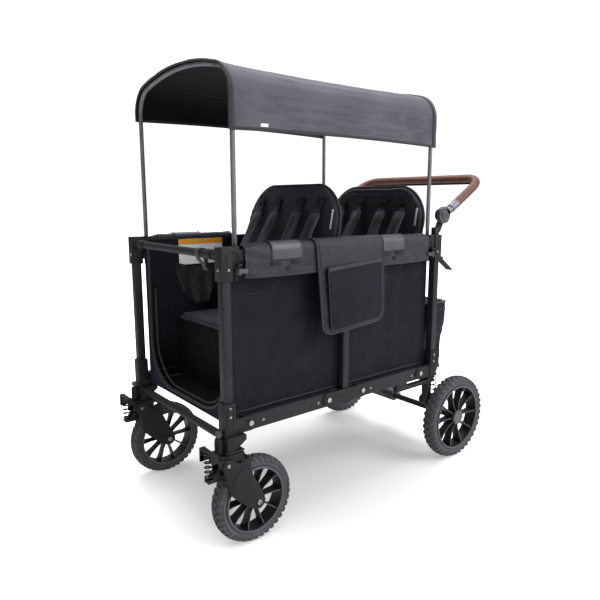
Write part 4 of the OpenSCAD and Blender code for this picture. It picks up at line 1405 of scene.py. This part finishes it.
def harnessPattern():
    webs, pads, hard, slots = [], [], [], []
    for child in (-1, 1):
        buckleY = child * seatShape["childGap"]
        for strap in (-1, 1):
            y = buckleY + strap * seatShape["strapGap"]
            path = smoothPath(strapPath(y, buckleY), 44)
            webs.append(ribbonAlong("web", path, (0, 1, 0), 0.025, 0.0014))
            spare = [p + Vector((-0.004, strap * 0.004, 0)) for p in path[9:24]]
            webs.append(ribbonAlong("webSpare", spare, (0, 1, 0.1), 0.022, 0.0012))
            pads.append(padOn(path[11], path[27]))
            adjust = path[6]
            hard += [boxAt("slider", adjust, (-0.0035, -0.0165, -0.011), (0.0015, 0.0165, 0.011), 0.0016),
                     boxAt("sliderBar", adjust, (-0.0062, -0.013, -0.0028), (-0.003, 0.013, 0.0028), 0.001)]
            slots.append(roundedCube("slotPlate", (0.0005, y - 0.021, seatShape["strapHeight"] - 0.0045),
                                     (0.0045, y + 0.021, seatShape["strapHeight"] + 0.0065), 0.0018))
        buckle = roundedCube("buckle", (-0.141, buckleY - 0.021, 0.022), (-0.126, buckleY + 0.021, 0.062),
                             0.005, 4)
        press = turned("buckleButton", [(0.00001, -0.0015), (0.008, -0.0015), (0.0105, 0.0), (0.0105, 0.0015),
                                        (0.00001, 0.0015)], 28)
        pressTurn = Matrix.Rotation(-math.pi / 2, 4, "Z")
        press.data.transform(Matrix.Translation((-0.1415, buckleY, 0.042)) @ pressTurn)
        hard += [buckle, press]
        crotch = [(-0.131, buckleY, 0.026), (-0.127, buckleY, 0.012), (-0.118, buckleY, 0.003),
                  (-0.100, buckleY, -0.0005)]
        webs.append(ribbonAlong("crotchWeb", smoothPath(crotch, 12), (0, 1, 0), 0.025, 0.0016))
    return {"Webbing": (joined("webbingPattern", webs), harnessWebbing),
            "Pads": (joined("padsPattern", pads), padCloth),
            "Buckles": (joined("bucklesPattern", hard), glassNylon),
            "Slots": (joined("slotsPattern", slots), softRubber)}


def cushionPattern():
    half = seatShape["half"] + 0.006
    deep = seatShape["depth"] + 0.026
    edge = half + 0.004
    start = outlinePiece("cushionPattern", [(-0.004, -edge), (deep, -edge), (deep, edge), (-0.004, edge)],
                         -0.0225, -0.0075, 0.005, "Z")
    useModifier(start, "REMESH", mode="VOXEL", voxel_size=0.0075)
    puffed(start, 4.0, 0.0072, 0.002)
    for vertex in start.data.vertices:
        x, y, z = vertex.co
        if z > -0.015:
            edge = min(x, deep - x, half - abs(y))
            seam = 0.003 * math.exp(-((edge - 0.022) / 0.005) ** 2) + 0.0028 * math.exp(-(y / 0.006) ** 2)
            vertex.co.z += 0.0006 * ripple(x, y, 71, 0.05) - seam
    useModifier(start, "SUBSURF", levels=1, render_levels=1)
    smoothen(start, 80)
    return start


def seats():
    back = backPattern()
    cushion = cushionPattern()
    harness = harnessPattern()
    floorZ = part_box("floor_panel")[1].z
    for name, footX, backNode, benchNode in (("Front", feetX[0], ["seat_backs"], ["benches"]),
                                             ("Rear", feetX[1], [], [])):
        lean = leanBy(footX)
        piece = copyOf(back, "seatBack" + name)
        piece.data.transform(lean)
        dress(piece, "seatBack" + name, "rear_frame", seatCloth, backNode)
        made = [piece]
        middle = seatShape["backThick"] / 2
        path = [lean @ Vector((middle, y * 1.004, z * 1.003 + 0.0005)) for y, z in backOutline()]
        piping = tubeAlong("backPiping" + name, path, 0.0042, 8, True)
        made.append(dress(piping, "backPiping" + name, "rear_frame", bindingTape))
        inset = backOutline(seatShape["seamInset"] + 0.004)
        seamPath = [lean @ Vector((0.0035, y, z)) for y, z in inset]
        made.append(dress(stitchesAlong("backStitches" + name, seamPath + seamPath[:1], 0.0075, 0.0048, 0.0011),
                          "backStitches" + name, "rear_frame", None))
        tagY = -seatShape["half"] + 0.020
        tag = roundedCube("backTag" + name, (-0.0012, tagY, 0.285), (0.0006, tagY + 0.006, 0.345), 0.0005)
        tag.data.transform(lean)
        made.append(dress(tag, "backTag" + name, "rear_frame", whiteLabel))
        for part, (pattern, material) in harness.items():
            twin = copyOf(pattern, "harness" + part + name)
            twin.data.transform(lean)
            made.append(dress(twin, "harness" + part + name, "rear_frame", material))
        seat = copyOf(cushion, "bench" + name)
        shifted(seat, Vector((footX - seatShape["depth"], 0, seatZ)))
        made.append(dress(seat, "bench" + name, "rear_frame", seatCloth, benchNode))
        half = seatShape["half"] + 0.006

        def skirtPlace(u, v, footX=footX, half=half):
            y = half * (2 * u - 1)
            z = floorZ + 0.002 + (seatZ - 0.022 - floorZ) * v
            fold = 0.0032 * ripple(y, z * 0.3, 81, 0.07) + 0.003 * math.sin(math.pi * v)
            return Vector((footX - seatShape["depth"] + 0.006 + fold, y, z))

        skirt = sewnPanel("benchSkirt" + name, 70, 30, skirtPlace, 0.0018)
        # the darker inside cloth on the skirt under the bench is painted shade
        made.append(dress(skirt, "benchSkirt" + name, "rear_frame", shadedInsideCloth))
        edgeX = footX - seatShape["depth"] + 0.003
        edgePath = sampled(20, lambda u: (edgeX, half * (2 * u - 1), seatZ - 0.015))
        edge = tubeAlong("benchPiping" + name, edgePath, 0.0032, 8)
        made.append(dress(edge, "benchPiping" + name, "rear_frame", bindingTape))
        squashTub(*made)
    for pattern in [back, cushion] + [pattern for pattern, _ in harness.values()]:
        bpy.data.objects.remove(pattern)


seats()
print("seats made")


# Push handle grip.
gripShape = {"pivot": (0.3509, 0.883), "armY": 0.283, "tilt": 31.0, "reach": 0.247, "corner": 0.062,
             "start": 0.076, "radius": 0.0155}


def handleGrip():
    shape = gripShape
    along = Vector((math.cos(math.radians(shape["tilt"])), 0, math.sin(math.radians(shape["tilt"]))))
    pivot = Vector((shape["pivot"][0], 0, shape["pivot"][1]))

    def at(distance, y):
        return pivot + along * distance + Vector((0, y, 0))

    bendAt = shape["reach"] - shape["corner"]
    half = sampled(8, lambda t: at(between(shape["start"], bendAt, t), -shape["armY"]))
    for i in range(1, 11):
        turn = math.pi / 2 * i / 10
        half.append(at(bendAt + shape["corner"] * math.sin(turn),
                       -shape["armY"] + shape["corner"] * (1 - math.cos(turn))))
    across = [Vector((half[-1].x, half[-1].y * (1 - i / 10), half[-1].z)) for i in range(1, 20)]
    whole = half + across + [Vector((p.x, -p.y, p.z)) for p in reversed(half)]
    grip = tubeAlong("gripSleeve", whole, shape["radius"] - 0.0006, 28)
    smoothen(grip, 60)
    dress(grip, "gripSleeve", "handle", cognacLeather, ["handle_grip"])
    under = Vector((along.z, 0, -along.x))
    # a dark strip with a line of stitches runs along the grip's underside, on the side that faces the seats
    stripSide = (-along * 0.55 + under * 0.84).normalized()
    seam = []
    for i, p in enumerate(whole):
        ahead = (whole[min(i + 1, len(whole) - 1)] - whole[max(i - 1, 0)]).normalized()
        side = stripSide - ahead * stripSide.dot(ahead)
        side = side.normalized() if side.length > 0.2 else under
        seam.append(p + side * (shape["radius"] - 0.0004))
    strip = ribbonAlong("gripUnderStrip", seam[10:-10], (0, 0.3, 1), 0.0125, 0.0012)
    dress(strip, "gripUnderStrip", "handle", softRubber)
    thread = [p + (p - q).normalized() * 0.0009 for p, q in zip(seam[10:-10], whole[10:-10])]
    stitches = stitchesAlong("gripStitches", thread, 0.006, 0.004, 0.0011)
    dress(stitches, "gripStitches", "handle", None)
    rings = []
    for sign in (-1, 1):
        for distance, radius, length in ((0.0735, 0.0157, 0.005), (0.0560, 0.0146, 0.034)):
            ring = turned("gripRing", sleeveProfile(0.0122, radius, length / 2, 0.001), 40)
            turn = along.to_track_quat("Y", "Z").to_matrix().to_4x4()
            ring.data.transform(Matrix.Translation(at(distance, sign * shape["armY"])) @ turn)
            rings.append(ring)
    dressJoined(rings, "gripRings", "handle", bareAluminium)


handleGrip()
print("grip made")


# Storage bag.
bagShape = {"half": 0.2470, "footHalf": 0.2290, "deep": 0.1420, "lid": 0.030, "sag": 0.0055, "pocketTop": 0.462}
bagLow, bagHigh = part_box("storage_bag")
bagMiddleX = bagLow.x + bagShape["deep"] / 2


def bagPoint(turn, z, out=0.0):
    # the bag's skin at a turn round it and a height; slack cloth below the lid
    rise = (z - bagLow.z) / (bagHigh.z - bagLow.z)
    deep = bagShape["deep"] / 2
    middleX = bagLow.x + deep
    half = bagShape["footHalf"] + (bagShape["half"] - bagShape["footHalf"]) * min(1, max(0, (z - 0.414) / 0.09))
    slack = math.sin(math.pi * min(1, max(0, rise / 0.88)))
    c, s = math.cos(turn), math.sin(turn)
    y = math.copysign(abs(s) ** 0.17, s) * (half - 0.004 * slack)
    outer = 1 if c > 0 else 0.25
    x = math.copysign(abs(c) ** 0.25, c) * (deep * (0.88 + 0.10 * slack * outer))
    folds = 0.0042 * ripple(y * 1.5 + c * 0.1, z * 0.35, 91, 0.055) + 0.0024 * ripple(y, z * 1.7, 93, 0.03)
    folds *= slack
    normal = Vector((c, s, 0)).normalized()
    return Vector((middleX + x, y, z)) + normal * (folds * (outer if abs(c) > 0.3 else 0.8) + out)


def storageBag():
    def place(u, v):
        turn = math.tau * u
        if v < 0.08:
            ring = bagPoint(turn, bagHigh.z - 0.003)
            share = v / 0.08
            return Vector((bagMiddleX + (ring.x - bagMiddleX) * share, ring.y * share,
                           bagHigh.z - 0.001 - 0.002 * share ** 6 - 0.003 * (1 - share)))
        if v > 0.92:
            ring = bagPoint(turn, bagLow.z + 0.004)
            share = (1 - v) / 0.08
            return Vector((bagMiddleX + (ring.x - bagMiddleX) * share, ring.y * share,
                           bagLow.z + 0.0015 + 0.0025 * share ** 6))
        z = bagHigh.z - 0.003 - (bagHigh.z - bagLow.z - 0.007) * (v - 0.08) / 0.84
        return bagPoint(turn, z)

    shell = sewnPanel("bagShell", 110, 54, place)
    dress(shell, "bagShell", "rear_frame", oxfordCloth, ["storage_bag"])

    def ringAt(z, out=0.0, count=90):
        return [bagPoint(math.tau * i / count, z, out) for i in range(count)]

    lidZ = bagHigh.z - bagShape["lid"]
    trims = [tubeAlong("lidPiping", ringAt(bagHigh.z - 0.003, 0.0006), 0.0024, 6, True),
             tubeAlong("lidHem", ringAt(lidZ, 0.001), 0.0016, 6, True),
             tubeAlong("footPiping", ringAt(bagLow.z + 0.005, 0.0006), 0.0024, 6, True)]
    dressJoined(trims, "bagPiping", "rear_frame", bindingTape)
    teeth = stitchesAlong("bagZip", ringAt(lidZ - 0.006, 0.0014, 160), 0.0042, 0.0022, 0.0026)
    dress(teeth, "bagZip", "rear_frame", springWire)
    tab = bagPoint(0.28, lidZ - 0.006, 0.004)
    pull = boxAt("bagZipTab", tab, (-0.001, -0.004, -0.024), (0.0014, 0.004, 0.002), 0.0011)
    dress(pull, "bagZipTab", "rear_frame", zincSteel)

    # two pleated pockets on the outer face
    outerX = bagLow.x + bagShape["deep"]
    pockets, hems = [], []
    for sign in (-1, 1):
        def pocketPlace(u, v, sign=sign):
            y = sign * (0.012 + 0.196 * u)
            z = bagShape["pocketTop"] - (bagShape["pocketTop"] - bagLow.z - 0.014) * v
            swell = 0.0055 * math.sin(math.pi * min(1, u * 1.02)) ** 0.5
            swell *= 0.35 + 0.65 * math.sin(math.pi * min(1, v * 0.95 + 0.05))
            pleat = 0.0022 * math.cos(u * math.pi * 4) * (1 - v * 0.5)
            base = outerX - 0.0085
            return Vector((base + min(0.0092, max(0.0, swell + pleat + 0.0014 * ripple(y, z, 95, 0.04))), y, z))

        pockets.append(sewnPanel("bagPocket", 44, 26, pocketPlace, 0.0014))
        hems.append(tubeAlong("bagPocketHem", sampled(40, lambda u: pocketPlace(u, 0.0)), 0.0019, 6))
    dressJoined(pockets, "bagPockets", "rear_frame", oxfordCloth)
    dressJoined(hems, "bagPocketHems", "rear_frame", bindingTape)
    mark = outlinePiece("bagMark", [(-0.212, 0.352), (-0.174, 0.352), (-0.212, 0.384)], outerX - 0.0010,
                        outerX + 0.0006, 0.0004, "X")
    dress(mark, "bagMark", "rear_frame", reflectiveTape)
    straps = []
    for sign in (-1, 1):
        y = sign * 0.150
        loop = [(bagLow.x + 0.012, y, bagHigh.z - 0.004), (bagLow.x + 0.004, y, bagHigh.z + 0.006),
                (bagLow.x + 0.001, y, bagHigh.z - 0.002), (bagLow.x + 0.0012, y, bagHigh.z - 0.04)]
        straps.append(ribbonAlong("bagStrap", smoothPath(loop, 16), (0, 1, 0), 0.024, 0.0014))
    dressJoined(straps, "bagStraps", "rear_frame", harnessWebbing)


storageBag()
print("bag made")


# Casters.
casterShape = {"plateIn": 0.0293, "plateOut": 0.0347, "relief": 0.0362, "pinX": -0.027}
wheelAt = Vector((-0.4361, 0.0, 0.122))
forkPivot = Vector((-0.5311, 0.0, 0.255))
# outlines as (towards the rear, up): the shield and its raised face are measured from the wheel's centre,
# the others from the post
shieldOutline = [(0.021, 0.006), (0.012, 0.028), (-0.006, 0.062), (-0.019, 0.090), (-0.0225, 0.115),
                 (-0.024, 0.1395), (-0.034, 0.1375), (-0.058, 0.128), (-0.0745, 0.1400), (-0.083, 0.1475),
                 (-0.095, 0.1500), (-0.107, 0.1470), (-0.1125, 0.134), (-0.109, 0.120), (-0.100, 0.104),
                 (-0.094, 0.078),
                 (-0.088, 0.046), (-0.060, 0.018), (-0.030, -0.008), (-0.016, -0.0155), (-0.004, -0.0215),
                 (0.008, -0.0198), (0.018, -0.0122), (0.0222, -0.003)]
reliefOutline = [(0.013, 0.006), (0.004, 0.026), (-0.014, 0.060), (-0.027, 0.090), (-0.031, 0.118),
                 (-0.052, 0.116), (-0.080, 0.090), (-0.0845, 0.070), (-0.080, 0.048), (-0.054, 0.022),
                 (-0.026, -0.002), (-0.013, -0.010), (-0.002, -0.0150), (0.008, -0.0120), (0.014, -0.004)]
headOutline = [(-0.016, 0.3228), (0.044, 0.3228), (0.044, 0.308), (0.030, 0.2985), (0.006, 0.2845),
               (-0.016, 0.2845)]
swivelOutline = [(-0.037, 0.2440), (0.009, 0.2440), (0.033, 0.2640), (0.033, 0.2745), (-0.037, 0.2745)]


def placedAt(points, centre):
    return [(x + centre.x, z + centre.z) for x, z in points]


def standing(profile, x, y, steps=40):
    # a turned piece stood upright
    piece = turned("standing", profile, steps)
    piece.data.transform(Matrix.Translation((x, y, 0)) @ Matrix.Rotation(math.pi / 2, 4, "X"))
    return piece


def rod(name, radius, half, centre):
    piece = turned(name, [(0.00001, -half), (radius, -half), (radius, half), (0.00001, half)], 32)
    return shifted(piece, centre)


def casterFork():
    plates, bright = [], []
    plateIn, plateOut, relief = casterShape["plateIn"], casterShape["plateOut"], casterShape["relief"]
    for sign in (-1, 1):
        low, high = sorted((sign * plateIn, sign * plateOut))
        plates.append(outlinePiece("shield", placedAt(shieldOutline, wheelAt), low, high, 0.0016))
        low, high = sorted((sign * plateOut * 0.99, sign * relief))
        plates.append(outlinePiece("shieldFace", placedAt(reliefOutline, wheelAt), low, high, 0.0009))
        low, high = sorted((sign * 0.029, sign * 0.035))
        plates += [boxAt("springArm", forkPivot, (-0.046, low, 0.001), (-0.010, high, 0.018), 0.0018),
                   boxAt("springPost", forkPivot, (-0.046, low, 0.001), (-0.028, high, 0.040), 0.0018)]
        boss = turned("pivotBoss", [(0.007, -0.0045), (0.0125, -0.0055), (0.0165, -0.004), (0.0172, 0.0),
                                    (0.007, 0.0)], 40)
        bolt = buttonScrew("pivotBolt", 0.0068)
        ring = turned("axleRing", [(0.0075, -0.002), (0.0105, -0.003), (0.0125, -0.0016), (0.013, 0.0),
                                   (0.0075, 0.0)], 40)
        axle = buttonScrew("axleBolt", 0.0088)
        for piece, centre, out in ((boss, forkPivot, 0.0350), (bolt, forkPivot, 0.0362),
                                   (ring, wheelAt, 0.0355), (axle, wheelAt, 0.0368)):
            piece.data.transform(Matrix.Translation((centre.x, sign * out, centre.z)) @ facing(sign))
        plates += [boss, ring]
        bright += [bolt, axle]
    plates += [boxAt("springSeat", forkPivot, (-0.0455, -0.030, 0.0345), (-0.030, 0.030, 0.0395), 0.0015),
               boxAt("hoodLip", wheelAt, (-0.0355, -0.030, 0.1335), (-0.0245, 0.030, 0.1385), 0.0018)]
    bright += [rod("axleRod", 0.0058, 0.0365, wheelAt), rod("pivotPin", 0.0039, 0.0362, forkPivot)]
    return joined("forkPattern", plates), joined("forkBoltPattern", bright)


def casterHead():
    post = Vector((frontX, 0, 0))
    barrel = [(0.0052, 0.2794), (0.0102, 0.2794), (0.0116, 0.2812), (0.0116, 0.3140), (0.0100, 0.3206),
              (0.0052, 0.3206)]
    return joined("headPattern", [
        outlinePiece("headBody", placedAt(headOutline, post), -0.026, 0.026, 0.0026),
        boxAt("headLip", post, (-0.021, -0.0275, 0.2794), (0.0355, 0.0275, 0.2850), 0.0018),
        boxAt("headWeb", post, (-0.028, -0.0075, 0.2796), (-0.010, 0.0075, 0.3150), 0.0022),
        boxAt("headBoss", post, (0.0335, -0.010, 0.300), (0.0365, 0.010, 0.316), 0.0014),
        standing(barrel, frontX + casterShape["pinX"], 0.0)])


def casterSwivel():
    post = Vector((frontX, 0, 0))
    washer = [(0.00001, 0.2745), (0.024, 0.2745), (0.0247, 0.2756), (0.0247, 0.2782), (0.0238, 0.2787),
              (0.00001, 0.2787)]
    stem = [(0.00001, 0.276), (0.0068, 0.276), (0.0068, 0.3095), (0.0058, 0.3105), (0.00001, 0.3105)]
    rib = placedAt([(-0.0365, 0.2445), (-0.031, 0.2445), (-0.031, 0.2140), (-0.060, 0.2140)], post)
    parts = [outlinePiece("swivelBody", placedAt(swivelOutline, post), -0.0268, 0.0268, 0.0030),
             boxAt("swivelLip", post, (-0.0385, -0.0282, 0.2722), (0.0345, 0.0282, 0.2768), 0.0016),
             standing(washer, frontX, 0.0),
             standing(stem, frontX, 0.0),
             boxAt("swivelBack", post, (-0.037, -0.012, 0.2082), (-0.031, 0.012, 0.2480), 0.0016),
             boxAt("springShelf", post, (-0.0675, -0.012, 0.2082), (-0.031, 0.012, 0.2138), 0.0016)]
    for sign in (-1, 1):
        parts.append(outlinePiece("swivelRib", rib, sign * 0.0105 - 0.0014, sign * 0.0105 + 0.0014, 0.0006))
    return joined("swivelPattern", parts)


def lockPin():
    pin = [(0.00001, 0.2872), (0.0046, 0.2872), (0.0049, 0.2880), (0.0049, 0.328), (0.00001, 0.328)]
    knob = [(0.00001, 0.3270), (0.0078, 0.3270), (0.0090, 0.3282), (0.0090, 0.3352), (0.0080, 0.3384),
            (0.0050, 0.3398), (0.00001, 0.3400)]
    pinX = frontX + casterShape["pinX"]
    return joined("lockPattern", [standing(profile, pinX, 0.0) for profile in (pin, knob)])


def casters():
    fork, forkBolts = casterFork()
    head, swivel, lock = casterHead(), casterSwivel(), lockPin()
    heads = []
    for side, sign in nearFar:
        move = Vector((0, sign * postY, 0))
        heads.append(shifted(copyOf(head, "head" + side), move))
        for pattern, name, material, slotName, stands in (
                (fork, "casterFork", glassNylon, "moulded_plastic", "caster_fork_"),
                (forkBolts, "casterForkBolts", zincSteel, "bolt_steel", None),
                (swivel, "casterSwivel", glassNylon, "cast_bracket", "caster_swivel_"),
                (lock, "lockPin", satinNylon, "moulded_plastic", "lock_pin_")):
            piece = shifted(copyOf(pattern, name), move)
            on = bodyOf[(stands or "caster_fork_") + side]
            dress(piece, name + side.capitalize(), on, material, [stands + side] if stands else ())
    dressJoined(heads, "casterHeads", bodyOf["caster_heads"], glassNylon, ["caster_heads"])
    for pattern in (fork, forkBolts, head, swivel, lock):
        bpy.data.objects.remove(pattern)


casters()
print("casters made")


# Screws, bracket details and loose cloth.
detailShape = {"face": 0.2846, "screw": 0.0042, "screwHigh": 0.760, "rivet": 0.0048, "rivetFace": 0.2771,
               "rivetsAt": (0.309, 0.110), "channel": (0.352, 0.410), "channelHalf": 0.0085}


def bracketDetails(name, body, postX, way):
    # small screws where the castings are fixed to the tubes
    shape = detailShape
    for side, sign in nearFar:
        lowFace = sign * (shape["face"] + 0.0002)
        spots = ((postX - way * 0.004, sign * shape["face"], shape["screwHigh"]), (postX, lowFace, 0.400),
                 (postX, lowFace, 0.376))
        screwsAt("screws" + name + side.capitalize(), body, shape["screw"],
                 [Matrix.Translation(spot) @ facing(sign) for spot in spots])
    endTurn = Matrix.Rotation(math.pi / 2 * way, 4, "Z")
    screwsAt("endScrews" + name, body, shape["screw"],
             [Matrix.Translation((postX + way * 0.0168, sign * postY, shape["screwHigh"])) @ endTurn
              for sign in (-1, 1)])
    # a sunk channel on each lower casting, and the eight-sided cover on each upper one
    low, high = shape["channel"]
    left, right = postX - shape["channelHalf"], postX + shape["channelHalf"]
    rim = [(left, low), (right, low), (right, high), (left, high)]
    panels = []
    for sign in (-1, 1):
        inner, outer = sorted((sign * 0.2838, sign * 0.2849))
        centre = Vector((postX - way * 0.017, sign * 0.2848, 0.7865))
        corners = [math.tau * (i + 0.5) / 8 for i in range(8)]
        octagon = [centre + Vector((0.0205 * math.cos(turn), 0, 0.0225 * math.sin(turn))) for turn in corners]
        panels += [outlinePiece("channel", rim, inner, outer, 0.0005),
                   tubeAlong("channelRim", [(x, sign * 0.2850, z) for x, z in rim], 0.0011, 6, True),
                   tubeAlong("octagonRim", octagon, 0.0012, 6, True)]
    dressJoined(panels, "bracketPanels" + name, body, softRubber)


bracketDetails("Front", "front_frame", frontX, -1)
bracketDetails("Rear", "rear_frame", rearX, 1)
for end, way in frontRear:
    spots = [(sign, hingeX + way * offset) for sign in (-1, 1) for offset in detailShape["rivetsAt"]]
    screwsAt("railRivets" + end.capitalize(), bodyOf["lower_" + end + "_rails"], detailShape["rivet"],
             [Matrix.Translation((x, sign * detailShape["rivetFace"], lowerZ - 0.002)) @ facing(sign)
              for sign, x in spots])


def notice():
    # a plain information panel inside the far wall
    left, right, low, high = -0.371, -0.203, 0.719, 0.804
    panel = roundedCube("noticePanel", (left, 0.2415, low), (right, 0.2427, high), 0.0005)
    band = roundedCube("noticeBand", (left, 0.2407, high - 0.018), (right, 0.2417, high), 0.0004)
    dress(panel, "noticePanel", bodyOf["upper_front_rails"], whiteLabel)
    dress(band, "noticeBand", bodyOf["upper_front_rails"], orangeLabel)


notice()

hangShape = {"from": 0.030, "to": -0.186, "strapY": -0.156, "fullness": 1.18, "height": 0.085}


def hangingCloth():
    def place(u, v):
        y = hangShape["from"] + (hangShape["to"] - hangShape["from"]) * u
        top = 0.752 + 0.016 * math.exp(-((y - hangShape["strapY"]) / 0.035) ** 2)
        foot = 0.716 - 0.062 * math.sin(math.pi * min(1, u * 0.85 + 0.03)) ** 1.2
        foot -= 0.005 * math.sin(math.pi * u * 3.1) ** 2
        z = top + (foot - top) * v
        fold = 0.0045 * math.sin(u * 17 + 1.2 * math.sin(v * 3)) * (0.35 + 0.65 * v)
        fold += 0.004 * ripple(y, z, 101, 0.04)
        return Vector((frontX + 0.019 + fold, y, z))

    cloth = sewnPanel("hangingCloth", 90, 36, place, 0.0014)
    # the darker inside cloth on the hanging cloth is painted shade
    dress(cloth, "hangingCloth", "front_frame", shadedInsideCloth)
    # once round the bar, from the middle of it
    loop = [(0.016, 0.748), (0.0135, 0.775), (0.0125, 0.798), (0.009, 0.8055), (0.0, 0.8085), (-0.009, 0.8055),
            (-0.0125, 0.795), (-0.007, 0.778), (0.006, 0.764), (0.013, 0.748)]
    path = smoothPath([(frontX + x, hangShape["strapY"], z) for x, z in loop], 28)
    strap = ribbonAlong("hangingStrap", path, (0, 1, 0), 0.022, 0.0016)
    dress(strap, "hangingStrap", "front_frame", harnessWebbing)
    sleeves = []
    for y in (-0.205, 0.210):
        sleeve = turned("barSleeve", sleeveProfile(0.0108, 0.0135, 0.016, 0.0012), 32)
        sleeves.append(shifted(sleeve, Vector((frontX, y, upperZ))))
    dressJoined(sleeves, "barSleeves", "front_frame", glassNylon)


hangingCloth()
print("details made")
